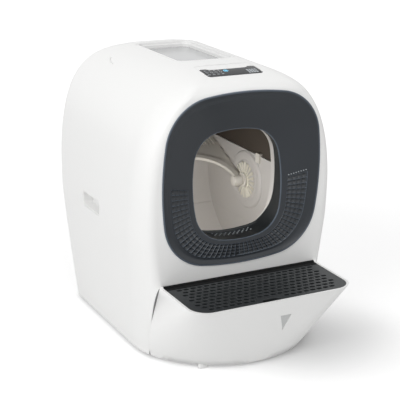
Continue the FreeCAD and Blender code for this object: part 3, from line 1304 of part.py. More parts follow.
def make_sensors():
    """Two presence sensors that look down through the hood's roof behind the mouth."""
    roof = HOOD_ROOF + TUB_WALL
    steps = [(SENSOR_RADIUS, HOOD_ROOF - SENSOR_PROUD), (SENSOR_RADIUS, roof), (SENSOR_HEAD, roof),
             (SENSOR_HEAD, roof + TUB_WALL)]
    return Part.makeCompound([drum_z(steps, side * SENSOR_X, SENSOR_DEPTH) for side in (-1, 1)])


def make_filter():
    """Odour filter cartridge on the hood's roof, open below over the slots."""
    low = HOOD_ROOF + TUB_WALL
    box = pad_z(-FILTER_HALF_WIDTH - TUB_WALL, FILTER_HALF_WIDTH + TUB_WALL, FILTER_FRONT,
                FILTER_FRONT + FILTER_LENGTH, low, low + FILTER_HEIGHT, TUB_WALL)
    return box.cut(block(-FILTER_HALF_WIDTH, FILTER_HALF_WIDTH, FILTER_FRONT + TUB_WALL,
                         FILTER_FRONT + FILTER_LENGTH - TUB_WALL, low - CUT_OVER, low + TUB_WALL))


def make_housing_group():
    """The body's shell and everything that is cut to its form."""
    outer = body_form(0.0, FOOT_HEIGHT, BODY_BANDS)
    inner = body_form(WALL, FOOT_HEIGHT - CUT_OVER, INNER_BANDS, INNER_CHORDS)
    wall = outer.cut(inner)
    mark = nail_mark().common(outer).cut(body_form(MARK_CUT, FOOT_HEIGHT, BODY_BANDS))
    keep("housing_shell", make_housing(outer, inner).cut(mark))
    keep("rear_panel", make_rear_panel(wall))
    keep("power_inlet", make_inlet(outer))
    keep("panel_lens", wall.common(panel_pad(-GAP)))
    keep("touch_board", make_touch_board(inner))
    keep("top_tray", make_top_tray(outer))
    keep("tray_mat", make_mat())
    keep("bezel_ring", make_bezel(outer))
    cup = make_grip_cup(outer)
    keep("grip_cup_right", cup)
    keep("grip_cup_left", mirrored(cup))


def make_tub_group():
    """Tub, hood, throat and what is mounted on them."""
    tray, wall = make_tub(tub_shell())
    keep("tub_tray", tray)
    keep("tub_wall", wall)
    keep("throat_collar", make_throat())
    keep("chamber_hood", make_hood())
    keep("hood_latches", on_both_sides(make_latch()))
    keep("hub_bosses", on_both_sides(make_boss()))
    keep("entry_sensors", make_sensors())
    keep("odour_filter", make_filter())
    keep("waste_chute", make_chute())


def make_base_group():
    """Base pan, feet, weighing bars, screws, rails, side frames and board."""
    keep("base_pan", make_base_pan())
    keep("rubber_feet", make_feet())
    keep("load_cells", make_cells())
    keep("case_screws", make_case_screws())
    keep("drawer_rails", on_both_sides(make_rail()))
    cradle = make_cradle()
    keep("cradle_right", cradle)
    keep("cradle_left", mirrored(cradle))
    keep("shaft_bushes", on_both_sides(make_bush()))
    keep("main_board", make_main_board())
    keep("gear_motor", make_motor())
    keep("motor_bracket", make_bracket())


def make_scoop_group():
    """The turning scoop with its hubs, brushes and shafts, and the drive."""
    keep("scoop_comb", make_comb())
    keep("scoop_hubs", on_both_sides(make_hub()))
    keep("hub_brushes", on_both_sides(make_brush()))
    keep("drive_shaft", make_shaft(GEAR_X + GEAR_WIDTH + GEAR_CLEAR))
    keep("idle_shaft", mirrored(make_shaft(CRADLE_X + CRADLE_THICKNESS + BUSH_FLANGE_THICKNESS)))
    keep("drive_gear", make_gear())
    keep("pinion", make_pinion())


def make_drawer_group():
    """Front drawer with its bin, and the hinged tread on it."""
    keep("drawer_shell", make_drawer_shell())
    keep("waste_bin", make_bin())
    keep("bag_frame", make_bag_frame())
    keep("drawer_skid", drum_z([(SKID_RADIUS, 0.0), (SKID_RADIUS, FOOT_HEIGHT)], 0.0, SKID_DEPTH,
                               2 * ROUND_SIDES))
    keep("tread_hinge_pins", on_both_sides(make_hinge_pin()))
    keep("tread_plate", make_tread())


make_housing_group()
make_tub_group()
make_base_group()
make_scoop_group()
make_drawer_group()
write_parts()
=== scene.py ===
"""Looks of a self-cleaning litter box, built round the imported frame.
Shapes are drawn in millimetres with the body's front face at y = 0, and placed in the frame in metres."""
import bmesh
import bpy
import math
import random
from math import cos, radians, sin
from mathutils import Matrix, Vector
from mathutils.bvhtree import BVHTree
from mathutils.interpolate import poly_3d_calc


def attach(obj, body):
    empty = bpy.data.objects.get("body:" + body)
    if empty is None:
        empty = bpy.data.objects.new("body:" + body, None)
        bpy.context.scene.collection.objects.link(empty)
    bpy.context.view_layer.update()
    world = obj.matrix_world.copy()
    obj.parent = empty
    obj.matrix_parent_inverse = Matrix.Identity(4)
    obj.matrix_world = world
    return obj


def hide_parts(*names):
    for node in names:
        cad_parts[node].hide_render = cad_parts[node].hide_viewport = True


MM = 0.001
FRONT_SHIFT = -167.0
FAR = 900.0
NORMAL_REACH = 0.00008
NORMAL_AGREE = 0.86

# Finishes
# Pointiness ranges and tone for painted highlight on ridges and painted shade in hollows
RIDGE_HIGHLIGHT_POINTINESS = (0.51, 0.56)
HOLLOW_SHADE_POINTINESS = (0.44, 0.49)
HOLLOW_SHADE_TONE = 0.6
COAT_ROUGHNESS = 0.12
DRIFT_SCALE = 7.0
GRAIN_DEPTH = 0.0003
GLOSS_SPREAD = 0.05
WHITE = (1.0, 1.0, 1.0, 1.0)

# Body
BODY_HEIGHT = 603.0
BODY_DEPTH = 493.9
HALF_WIDTH_FLOOR = 204.0
HALF_WIDTH_WIDEST = 232.0
WIDEST_HEIGHT = 277.0
SIDE_TAPER_POWER = 1.16
SHOULDER_POWER = 2.87
DEPTH_FLOOR = 440.0
DEEPEST_HEIGHT = 508.0
BACK_TAPER_POWER = 0.8
BACK_TOP_POWER = 4.9
FRONT_TOP_START = 552.0
FRONT_TOP_POWER = 2.8
MIDDLE_DEPTH = 210.0
FRONT_CORNER = (47.0, 98.0)
FRONT_CORNER_SHRINK = 0.68
FRONT_CORNER_SHRINK_HEIGHT = 366.0
BACK_CORNER_SHARE = 0.68
BACK_CORNER_Y = 45.0
TOP_CAP_ANGLE = 74.0
WALL = 3.0
FOOT_HEIGHT = 8.0
BODY_CHORDS = 12
BODY_BANDS = (12, 26, 18)
MARK = (-144.5, 353.0)
MARK_RADIUS = 60.0
MARK_SPAN = 19.5
MARK_LEAN = -18.0
MARK_WIDTH = 2.4
MARK_CUT = 1.2

# Bezel, its pocket band, and the throat
BEZEL_HALF = (187.0, 184.5)
BEZEL_CENTRE = 382.7
BEZEL_POWER = 3.17
LIP_HALF = (105.8, 117.0)
LIP_CENTRE = 363.6
LIP_POWER = 2.9
LIP_DEPTH = 22.0
LIP_TILT = 6.5
BEZEL_PROUD = 2.0
BEZEL_EDGE = 2.5
FLARE_DEPTH = 5.0
FLARE_SHARE = 0.20
FLARE_STEPS = 8
SPIGOT_INSET = 5.0
CLEARANCE = 0.3
THROAT_END = 64.0
THROAT_SHORT = 14.0
THROAT_BEND = (255.0, 330.0)
THROAT_JOINT = 0.6
BAND_START = 0.31
BAND_END = 0.83
BAND_ROWS = 4
BAND_COLUMNS = 46
BAND_POCKET = 2.6
BAND_RIDGE = 0.8
BAND_RIDGE_SHARE = 0.06
BAND_WALL_SHARE = 0.08
BAND_FACET_SHARE = 0.42
BAND_REAR_SHARE = 0.14
BAND_RAMP_SHARE = 0.52
BEZEL_POINTS = 256
BEZEL_UPPER_POINTS = 128
TICKS = 8
TICK_PLACE = 0.0045
TICK_RADIUS = 1.3
TICK_RISE = 0.9
STUD_ROWS = (41.5, 47.5, 53.5)
STUD_COUNT = 9
STUD_PITCH = 11.0
STUD_CENTRE = 4.0
STUD_RADIUS = 1.5
STUD_RISE = 0.8
SILL = (57.0, 63.2)
SILL_HALF_LENGTH = 76.0
SILL_HEIGHT = 6.0

# Drawer and tread
STEP_REACH = 160.0
STEP_HEIGHT = 172.0
STEP_HALF_WIDTH = 188.8
STEP_CORNER = 43.0
STEP_FLOOR_RADIUS = 211.0
STEP_FLOOR_FRONT = -85.0
SEAM_TOP = 1.0
SEAM_FLOOR = 37.0
SEAM_GAP = (4.2, 1.1)
FOOT_PLACE = (-112.0, -52.0)
FOOT_HALF = (11.0, 6.0)
# Insets and thickness of the grey strip that is painted shade along the seam's line
SHADE_STRIP_INSETS = (0.6, 2.0)
SHADE_STRIP_THICKNESS = (3.4, 0.7)
BAY_FLANGE = (-2.0, -2.0)
BAY_WINDOW = 172.0
TREAD_RIM = 5.2
TREAD_LEDGE = 8.0
TREAD_LOW = 167.0
TREAD_TOP = 171.0
TREAD_BACK = -8.0
TREAD_SOFT = 0.35
BARREL = (-4.2, 171.5)
BARREL_RADIUS = 3.5
LEAF = (-19.0, -5.0)
LEAF_TOP = 171.7
BIN_WINDOW = 167.0
HOLE_ROWS = 9
HOLE_COLUMNS = 21
HOLE_SIZE = (12.6, 7.8)
HOLE_PITCH = (15.8, 13.6)
HOLE_FIRST_ROW = -136.0
NOTCH = (-32.5, 10.5)
NOTCH_BACK = -139.5
NOTCH_CORNER = 11.0
TRIANGLE = ((17.0, 128.0), (43.5, 128.0), (35.0, 85.0))
TRIANGLE_CUT = 2.2
# Thickness of the grey plate in the triangle's recess, which is painted shade
TRIANGLE_SHADE_PLATE = 0.6

# Tub, hubs and brushes
AXIS = (252.0, 290.0)
TUB_HALF_WIDTH = 159.0
BOSS_RADIUS = 69.0
BOSS_FACE = 155.0
HUB_INNER = 122.0
HUB_OUTER = 151.0
HUB_RADIUS = 12.0
SHAFT_HOLE = 6.4
FLANGE = (145.0, 149.0)
FLANGE_RADIUS = 17.0
BRUSH_RADIUS = 43.5
BRUSH_CORE = 19.0
BRUSH_FACE = (151.5, 154.7)
BRUSH_TUFTS = 20
TUFT_BRISTLES = 24
TUFT_HALF_ANGLE = 5.6

# Top tray, panel, grips and rear panel
TRAY = (-72.0, 72.0, 160.0, 394.0)
TRAY_CORNER = 26.0
TRAY_FLOOR = 583.0
TRAY_LEDGE = 594.0
TRAY_STEP = 7.0
TRAY_WALL = 2.5
MAT_TOP = 587.0
SHELF_WIDTH = 6.0
PANEL = (-65.5, 65.5, 43.0, 111.0)
PANEL_CORNER = 8.0
LENS = (-64.9, 64.9, 43.6, 87.0)
LENS_CORNER = 5.0
ICON_LEFT = -57.0
ICON_PITCH = 10.5
ICON_MIDDLE = 65.0
LAMP_PLACE = (-11.4, 68.7)
GRID_CORNER = (34.0, 49.0)
GRIP = (210.0, 304.0, 265.0, 300.0)
GRIP_CORNER = 12.0
GRIP_FLOOR = 208.0
REAR = (-90.0, 90.0, 60.0, 300.0)
REAR_CORNER = 12.0
REAR_CUT = DEPTH_FLOOR - 2.0 * BACK_CORNER_Y
VENT_LOW = 200.0
VENT_PITCH = 9.0
VENT_WIDTH = 4.0
VENT_HALF_LENGTH = 45.0
VENT_COUNT = 9
INLET = (45.0, 84.0)
INLET_RADIUS = 7.3

# Camera, in the frame's metres
CAMERA_PLACE = (-1.1431, -2.0837, 1.0660)
CAMERA_AZIMUTH = -28.54
CAMERA_ELEVATION = 18.18
CAMERA_ROLL = 1.511
CAMERA_FOCAL_PIXELS = 1131.35
IMAGE_WIDTH = 400.0
SENSOR_WIDTH = 36.0

# Floor and lights
FLOOR_HALF = 30.0
FLOOR_TONE = 0.82
# Place and reach where the floor's lift for the camera fades out: a painted shadow beside the object
PAINTED_SHADOW_PLACE = (0.17, -0.20, 0.0)
NEAR_LIFT = 0.33
PAINTED_SHADOW_REACH = (0.03, 0.30)
FAR_LIFT = 0.30
FAR_REACH = (0.6, 2.4)
WORLD_LEVEL = 0.60
KEY_LEVEL = 28.0
SIDE_LEVEL = 9.0
FRONT_LEVEL = 20.0
TOP_LEVEL = 6.0
CHAMBER_LEVEL = 0.40
LIGHT_AIM = (0.0, 0.0, 0.3)
LIGHT_SIZE = 1.6
TOP_LIGHT_SIZE = 2.2


def spot(x, y, z):
    """A point drawn in millimetres, placed in the frame."""
    return Vector((x * MM, (y + FRONT_SHIFT) * MM, z * MM))


def mix(start, end, share):
    """A value between two others."""
    return start + (end - start) * share


def placed(name, data):
    """A new object in the scene."""
    piece = bpy.data.objects.new(name, data)
    bpy.context.scene.collection.objects.link(piece)
    return piece


def solid(name, points, faces):
    """A mesh object with its faces turned outwards."""
    mesh = bpy.data.meshes.new(name)
    mesh.from_pydata([tuple(p) for p in points], [], faces)
    work = bmesh.new()
    work.from_mesh(mesh)
    bmesh.ops.recalc_face_normals(work, faces=work.faces)
    work.to_mesh(mesh)
    work.free()
    return placed(name, mesh)


def skin(name, loops, ends=True, wrap=False):
    """A surface through closed loops of equally many points, with caps, or joined last to first."""
    count = len(loops[0])
    points = [p for loop in loops for p in loop]
    faces = []
    for k in range(len(loops) if wrap else len(loops) - 1):
        a = k * count
        b = (k + 1) % len(loops) * count
        for i in range(count):
            j = (i + 1) % count
            faces.append((a + i, a + j, b + j, b + i))
    if ends and not wrap:
        faces.append(tuple(range(count - 1, -1, -1)))
        faces.append(tuple(range(len(points) - count, len(points))))
    return solid(name, points, faces)


def prism(name, loop, low, high, axis=2):
    """A straight piece between two places on an axis."""
    return skin(name, [[spot(*p[:axis], level, *p[axis:]) for p in loop] for level in (low, high)])


def joined(name, pieces):
    """Several pieces as one object, their meshes side by side."""
    points = []
    faces = []
    for piece in pieces:
        start = len(points)
        points += [v.co.copy() for v in piece.data.vertices]
        faces += [tuple(start + i for i in p.vertices) for p in piece.data.polygons]
        discard(piece)
    return solid(name, points, faces)


def discard(piece):
    """Removes a working piece."""
    mesh = piece.data
    bpy.data.objects.remove(piece)
    bpy.data.meshes.remove(mesh)


def final_mesh(piece):
    """The mesh of a piece or a curve with everything applied."""
    graph = bpy.context.evaluated_depsgraph_get()
    return bpy.data.meshes.new_from_object(piece.evaluated_get(graph))


def carve(piece, cutters, operation="DIFFERENCE"):
    """Cuts the piece by each cutter, or keeps what they share."""
    for cutter in cutters:
        modifier = piece.modifiers.new("carve", "BOOLEAN")
        modifier.operation = operation
        modifier.solver = "EXACT"
        modifier.object = cutter
    bpy.context.view_layer.update()
    mesh = final_mesh(piece)
    piece.modifiers.clear()
    piece.data = mesh
    for cutter in cutters:
        discard(cutter)
    return piece


def smooth(piece, angle=30.0):
    """Smooth shading, with edges sharper than the angle kept."""
    mesh = piece.data
    mesh.polygons.foreach_set("use_smooth", [True] * len(mesh.polygons))
    mesh.set_sharp_from_angle(angle=radians(angle))
    return piece


def both_sides(name, make, angle=30.0):
    """A left-hand and a right-hand piece as one."""
    return smooth(joined(name, [make(side) for side in (-1, 1)]), angle)


def borrow_normals(piece, form):
    """Gives faces on the uncut form its smooth normals, so cuts leave no marks in the shading."""
    smooth(piece)
    smooth(form, 60.0)
    tree = surface_tree(form)
    mesh = piece.data
    found = {}
    normals = []
    plain = [Vector(n.vector) for n in mesh.corner_normals]
    for polygon in mesh.polygons:
        for corner in polygon.loop_indices:
            index = mesh.loops[corner].vertex_index
            if index not in found:
                found[index] = form_normal(tree, form.data, mesh.vertices[index].co)
            normal = found[index]
            kept = normal is not None and normal.dot(polygon.normal) > NORMAL_AGREE
            normals.append(normal if kept else plain[corner])
    mesh.normals_split_custom_set(normals)
    return piece


def form_normal(tree, source, place):
    """The form's smooth normal at a place, or nothing off the form."""
    near, _, face, distance = tree.find_nearest(place)
    if near is None or distance > NORMAL_REACH:
        return None
    polygon = source.polygons[face]
    corners = [source.vertices[i] for i in polygon.vertices]
    weights = poly_3d_calc([c.co for c in corners], near)
    normal = Vector((0.0, 0.0, 0.0))
    for corner, weight in zip(corners, weights):
        normal += corner.normal * weight
    return normal.normalized()


def dress(piece, body, slot, nodes=(), finish=None):
    """Hangs a piece on a body with the material of its finish, or else of its slot, and hides the nodes that
    it stands for.
    """
    piece.data.materials.clear()
    piece.data.materials.append(materials[finish or slot])
    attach(piece, body)
    if nodes:
        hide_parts(*nodes)


def arc(centre, radius, start, end, chords):
    """Points along a circular arc between two angles in degrees."""
    angles = [radians(start + (end - start) * k / chords) for k in range(chords + 1)]
    return [(centre[0] + radius * cos(a), centre[1] + radius * sin(a)) for a in angles]


def ring(centre, radius, chords):
    """A full circle's points."""
    return arc(centre, radius, 0.0, 360.0, chords)[:-1]


def outline(runs):
    """A closed outline through runs whose ends meet or are joined straight."""
    points = []
    for run in runs:
        for p in run:
            if not points or math.dist(p, points[-1]) > 0.001:
                points.append(p)
    if math.dist(points[0], points[-1]) <= 0.001:
        points.pop()
    return points


def rounded_box(sides, corner, outset=0.0, chords=10):
    """A rectangle (u0, u1, v0, v1) with round corners, moved outwards."""
    u0, u1, v0, v1 = sides
    radius = max(corner + outset, 0.2)
    low_u = u0 - outset + radius
    high_u = u1 + outset - radius
    low_v = v0 - outset + radius
    high_v = v1 + outset - radius
    centres = [(high_u, high_v), (low_u, high_v), (low_u, low_v), (high_u, low_v)]
    return [p for k, centre in enumerate(centres)
            for p in arc(centre, radius, 90.0 * k, 90.0 * k + 90.0, chords)]


def block(name, x0, x1, y0, y1, z0, z1):
    """A box between two corners, for cutting."""
    return prism(name, [(x0, y0), (x1, y0), (x1, y1), (x0, y1)], z0, z1)


def lathe_x(name, profile, side=1, sides=96, centre=AXIS):
    """A round piece about X through a centre (y, z); the profile is (radius, x)."""
    turns = [radians(360.0 * k / sides) for k in range(sides)]
    loops = [[spot(side * x, centre[0] + r * cos(t), centre[1] + r * sin(t)) for t in turns]
             for r, x in profile]
    return skin(name, loops)


def closing(z, start, top, power):
    """1 up to the start height, then down to 0 at the top along a superellipse."""
    share = min(max((z - start) / (top - start), 0.0), 1.0)
    return (1.0 - share ** power) ** (1.0 / power)


def body_half_width(z, inset):
    """Half the body's width at a height."""
    low = max(0.0, (WIDEST_HEIGHT - z) / WIDEST_HEIGHT) ** SIDE_TAPER_POWER
    side = HALF_WIDTH_WIDEST - (HALF_WIDTH_WIDEST - HALF_WIDTH_FLOOR) * low - inset
    return side * closing(z, WIDEST_HEIGHT, BODY_HEIGHT - inset, SHOULDER_POWER)


def body_back(z, inset):
    """The body's rear limit at a height."""
    low = max(0.0, (DEEPEST_HEIGHT - z) / DEEPEST_HEIGHT) ** BACK_TAPER_POWER
    back = BODY_DEPTH - (BODY_DEPTH - DEPTH_FLOOR) * low - inset
    return mix(MIDDLE_DEPTH, back, closing(z, DEEPEST_HEIGHT, BODY_HEIGHT - inset, BACK_TOP_POWER))


def body_front(z, inset):
    """The body's front limit at a height."""
    return MIDDLE_DEPTH - (MIDDLE_DEPTH - inset) * closing(z, FRONT_TOP_START, BODY_HEIGHT - inset,
                                                           FRONT_TOP_POWER)


def oval_corner(reach_x, reach_y, chords):
    """A quarter oval from its end on X to its end on Y: two tangent arcs."""
    turn = math.atan2(reach_x, reach_y)
    c = cos(turn)
    s = sin(turn)
    tight = (reach_x * s / (1 - c) - reach_y) / (c * s / (1 - c) - 1 + s)
    wide = (reach_x - tight * c) / (1 - c)
    degrees = math.degrees(turn)
    return (arc((reach_x - wide, 0), wide, 0, degrees, chords)
            + arc((0, reach_y - tight), tight, degrees, 90, chords)[1:])


def body_section(z, inset):
    """The body's level outline at a height, moved inwards by the inset."""
    w = body_half_width(z, inset)
    back = body_back(z, inset)
    front = body_front(z, inset)
    shrink = 1.0 - (1.0 - FRONT_CORNER_SHRINK) * min(z / FRONT_CORNER_SHRINK_HEIGHT, 1.0)
    fx = min(FRONT_CORNER[0] * shrink, 0.6 * w)
    fy = min(FRONT_CORNER[1] * shrink, 0.8 * (MIDDLE_DEPTH - front))
    bx = BACK_CORNER_SHARE * w
    by = min(BACK_CORNER_Y, 0.8 * (back - MIDDLE_DEPTH))
    near = [(w - fx + u, front + fy - v) for u, v in oval_corner(fx, fy, BODY_CHORDS)]
    rear = [(w - bx + u, back - by + v) for u, v in oval_corner(bx, by, BODY_CHORDS)]
    right = near[::-1] + rear
    left = [(-x, y) for x, y in right[::-1]]
    return [spot(x, y, z) for x, y in right + left]


def body_levels(inset):
    """Heights of the body's level outlines, closer together where it curves."""
    low_bands, side_bands, top_bands = BODY_BANDS
    top = BODY_HEIGHT - inset
    low = [FOOT_HEIGHT + (WIDEST_HEIGHT - FOOT_HEIGHT) * k / low_bands for k in range(low_bands)]
    middle = [WIDEST_HEIGHT + (FRONT_TOP_START - WIDEST_HEIGHT) * sin(radians(90.0 * k / side_bands))
              for k in range(side_bands)]
    high = [FRONT_TOP_START + (top - FRONT_TOP_START) * sin(radians(TOP_CAP_ANGLE * k / top_bands))
            for k in range(top_bands + 1)]
    return low + middle + high


def body_loops(inset):
    """The body's outlines from its foot to its top."""
    return [body_section(z, inset) for z in body_levels(inset)]


def surface_tree(piece):
    """A search tree over a piece's surface."""
    mesh = piece.data
    return BVHTree.FromPolygons([v.co for v in mesh.vertices], [tuple(p.vertices) for p in mesh.polygons])


def crown(tree, x, y):
    """Height of the body's top at a place, in millimetres."""
    hit = tree.ray_cast(spot(x, y, FAR), Vector((0.0, 0.0, -1.0)))[0]
    return hit.z / MM


def flank(tree, y, z):
    """How far out the body's side lies at a place, in millimetres."""
    hit = tree.ray_cast(spot(FAR, y, z), Vector((-1.0, 0.0, 0.0)))[0]
    return hit.x / MM


def squircle_arcs(half_u, half_v, power):
    """The arcs of a squircle's quarter: flat across the axes, a tight one between."""
    near = 1.0 - (1.0 - 0.5 ** power) ** (1.0 / power)
    side = ((half_v / 2.0) ** 2 + (near * half_u) ** 2) / (2.0 * near * half_u)
    cap = ((half_u / 2.0) ** 2 + (near * half_v) ** 2) / (2.0 * near * half_v)
    share = 2.0 ** (-1.0 / power)
    place = (share * half_u, share * half_v)
    side_centre = (half_u - side, 0.0)
    cap_centre = (0.0, half_v - cap)

    def tight(centre, radius, turn):
        du = place[0] - centre[0]
        dv = place[1] - centre[1]
        along = cos(turn) * du + sin(turn) * dv
        return (du * du + dv * dv - radius * radius) / (2.0 * (along - radius))

    low = radians(15.0)
    high = radians(75.0)
    for _ in range(50):
        turn = (low + high) / 2.0
        if tight(side_centre, side, turn) > tight(cap_centre, cap, turn):
            low = turn
        else:
            high = turn
    radius = tight(side_centre, side, turn)
    centre = (place[0] - radius * cos(turn), place[1] - radius * sin(turn))
    start = math.degrees(math.atan2(centre[1] - side_centre[1], centre[0] - side_centre[0]))
    end = math.degrees(math.atan2(centre[1] - cap_centre[1], centre[0] - cap_centre[0]))
    return (side_centre, side, start), (centre, radius, start, end), (cap_centre, cap, end)


def squircle(half_u, half_v, power, chords=16):
    """A squircle's points, from the right-hand side round over the top."""
    (side_centre, side, start), (centre, radius, first, last), (cap_centre, cap, end) = \
        squircle_arcs(half_u, half_v, power)
    quarter = (arc(side_centre, side, 0.0, start, chords) + arc(centre, radius, first, last, 2 * chords)[1:]
               + arc(cap_centre, cap, end, 90.0, chords)[1:])
    upper = quarter + [(-u, v) for u, v in quarter[::-1]][1:]
    return upper + [(u, -v) for u, v in upper[::-1]][1:-1]


def spaced(points, shares):
    """Places along a closed outline at given shares of its length."""
    ends = points[1:] + points[:1]
    lengths = [math.dist(a, b) for a, b in zip(points, ends)]
    total = sum(lengths)
    spots = []
    k = 0
    run = 0.0
    for share in shares:
        goal = share * total
        while run + lengths[k] < goal and k < len(points) - 1:
            run += lengths[k]
            k += 1
        part = (goal - run) / lengths[k]
        spots.append([mix(p, q, part) for p, q in zip(points[k], ends[k])])
    return spots


def bezel_loop(share, depth, inset, tilt, shares):
    """An outline between the bezel's edge (share 0) and the entrance lip (share 1), as (u, y, z)."""
    half_u, half_v = [mix(edge, lip, share) - inset for edge, lip in zip(BEZEL_HALF, LIP_HALF)]
    points = squircle(half_u, half_v, mix(BEZEL_POWER, LIP_POWER, share))
    centre = mix(BEZEL_CENTRE, LIP_CENTRE, share)
    lean = radians(tilt)
    return [(u, depth + v * sin(lean), centre + v * cos(lean)) for u, v in spaced(points, shares)]


def bezel_spots(share, depth, inset, tilt, shares):
    """The same outline as points of the frame."""
    return [spot(*p) for p in bezel_loop(share, depth, inset, tilt, shares)]


def even_shares(count):
    """Shares of an outline's length at even steps."""
    return [k / count for k in range(count)]


def band_shares():
    """Shares of the bezel's outline: even above, and on every pocket's edges below."""
    ridge = BAND_RIDGE_SHARE
    rising = (0.0, ridge, ridge + BAND_WALL_SHARE, 1.0 - ridge - BAND_FACET_SHARE, 1.0 - ridge)
    falling = [0.0] + [1.0 - part for part in rising[:0:-1]]
    upper = [0.5 * k / BEZEL_UPPER_POINTS for k in range(BEZEL_UPPER_POINTS)] + [0.4995]
    lower = [0.5 + 0.5 * (column + part) / BAND_COLUMNS for column in range(BAND_COLUMNS)
             for part in (rising if column < BAND_COLUMNS / 2 else falling)]
    return upper + lower


def pocket_depth(around, across):
    """How far the dish's face is sunk at a place in the pocket band; both shares run from 0 to 1.
    Each pocket has a steep wall above, a wide facet below, and is deepest at its left-hand end."""
    if around < 0.0:
        return 0.0
    column = around * BAND_COLUMNS
    part = column - math.floor(column + 0.0001)
    row = across * BAND_ROWS
    along = row - math.floor(row + 0.0001)
    if around > 0.5:
        part = 1.0 - part
        along = 1.0 - along
    part = min(max(part, 0.0), 1.0)
    along = min(max(along, 0.0), 1.0)
    wall = (part - BAND_RIDGE_SHARE) / BAND_WALL_SHARE
    facet = (1.0 - BAND_RIDGE_SHARE - part) / BAND_FACET_SHARE
    if across <= 0.0001 or across >= 0.9999 or min(wall, facet) < -0.0001:
        return -BAND_RIDGE
    slope = min(along / BAND_REAR_SHARE, (1.0 - along) / BAND_RAMP_SHARE, 1.0)
    return BAND_POCKET * min(max(wall, 0.0), max(facet, 0.0), 1.0) * slope


def dish_steps():
    """The dish's steps to the lip: (share, share across the pocket band)."""
    cell = (0.0, BAND_REAR_SHARE, 1.0 - BAND_RAMP_SHARE, BAND_RAMP_SHARE, 1.0 - BAND_REAR_SHARE)
    band = BAND_END - BAND_START
    steps = [(share, None) for share in (0.23, 0.26, BAND_START - 0.018)]
    steps.append((BAND_START - 0.010, 0.0))
    steps += [(BAND_START + band * (row + part) / BAND_ROWS, (row + part) / BAND_ROWS)
              for row in range(BAND_ROWS) for part in cell if row + part > 0.0]
    steps += [(BAND_END + 0.004, 1.0), (BAND_END + 0.014, None), (0.90, None), (0.95, None), (0.98, None)]
    return steps


def dish_lie(share):
    """Depth and tilt of the dish at a share of its breadth."""
    part = (share - FLARE_SHARE) / (1.0 - FLARE_SHARE)
    return mix(FLARE_DEPTH, LIP_DEPTH, part), LIP_TILT * part


def dish_loop(share, across, shares):
    """One outline of the dish's face, sunk where it has pockets."""
    depth, tilt = dish_lie(share)
    points = bezel_loop(share, depth, 0.0, tilt, shares)
    if across is None:
        return [spot(*p) for p in points]
    return [spot(u, y + pocket_depth(2.0 * s - 1.0, across), z) for (u, y, z), s in zip(points, shares)]


def make_bezel():
    """Dished ring with a thin proud edge, a flare and the band of pockets round its lower half."""
    shares = band_shares()
    steps = dish_steps()
    front = -BEZEL_PROUD
    rim = [bezel_spots(0.0, depth, inset, 0.0, shares)
           for depth, inset in ((WALL, 0.0), (-1.0, 0.0), (-1.7, 0.3), (front, 1.1), (front, BEZEL_EDGE))]
    edge = BEZEL_EDGE / (BEZEL_HALF[0] - LIP_HALF[0])
    for k in range(1, FLARE_STEPS + 1):
        part = k / FLARE_STEPS
        sunk = (FLARE_DEPTH + BEZEL_PROUD) * (1.5 * part - 0.5 * part * part)
        rim.append(bezel_spots(mix(edge, FLARE_SHARE, part), sunk - BEZEL_PROUD, 0.0, 0.0, shares))
    dish = [dish_loop(share, across, shares) for share, across in steps]
    back = [bezel_spots(1.0, LIP_DEPTH + behind, inset, LIP_TILT, shares)
            for behind, inset in ((-0.2, 0.0), (0.5, 0.0), (WALL, 0.0), (WALL, -WALL))]
    back.append(bezel_spots(FLARE_SHARE, FLARE_DEPTH + WALL, SPIGOT_INSET / 2.0, 0.0, shares))
    back.append(bezel_spots(0.0, WALL, SPIGOT_INSET, 0.0, shares))
    bezel = smooth(skin("bezel_dish", rim + dish + back, wrap=True), 38.0)
    inside = [across is not None for _, across in steps]
    first = len(rim) + inside.index(True)
    for k in range(first - 1, first + sum(inside)):
        for i in range(BEZEL_UPPER_POINTS + 1, len(shares)):
            bezel.data.polygons[k * len(shares) + i].use_smooth = False
    return bezel


def dome(place, radius, rise, up):
    """A low dome at a place, raised along -Y (up is 1) or along Z (up is 2)."""
    x, y, z = place
    loops = []
    for height, share in ((-0.4, 1.0), (0.0, 1.0), (0.6, 0.82), (0.9, 0.5), (1.0, 0.12)):
        out = rise * height
        loops.append([spot(x + u, y + v, z + out) if up == 2 else spot(x + u, y - out, z + v)
                      for u, v in ring((0.0, 0.0), radius * share, 12)])
    return skin("dome", loops)


def make_ticks():
    """A row of small domes where the pocket band starts on the right."""
    ticks = []
    for k in range(TICKS):
        share = mix(BAND_START, BAND_END, (k + 0.5) / TICKS)
        depth, tilt = dish_lie(share)
        place = bezel_loop(share, depth, 0.0, tilt, [TICK_PLACE])[0]
        ticks.append(dome(place, TICK_RADIUS, TICK_RISE, 1))
    return smooth(joined("band_ticks", ticks), 50.0)


def collar_end(z):
    """Depth of the collar's rear edge: full on the floor, shorter up the sides."""
    low, high = THROAT_BEND
    rise = min(max((z - low) / (high - low), 0.0), 1.0)
    return THROAT_END - THROAT_JOINT - THROAT_SHORT * rise * rise * (3.0 - 2.0 * rise)


def collar_loops(inset, shares, depths):
    """Outlines of the throat, between the lip and an end that depends on height."""
    front = bezel_loop(1.0, LIP_DEPTH + WALL + CLEARANCE, inset, LIP_TILT, shares)
    rear = bezel_loop(1.0, THROAT_END, inset, 0.0, shares)
    return [[spot(mix(a[0], b[0], t), mix(a[1], end(b[2]), t), mix(a[2], b[2], t))
             for a, b in zip(front, rear)] for t, end in depths]


def collar_skin(name, inner, outer):
    """A sleeve of the throat between its inner and outer outlines."""
    shares = even_shares(BEZEL_POINTS)
    outer = collar_loops(-WALL, shares, outer)
    return smooth(skin(name, [outer[0]] + collar_loops(0.0, shares, inner) + [outer[1]], wrap=True))


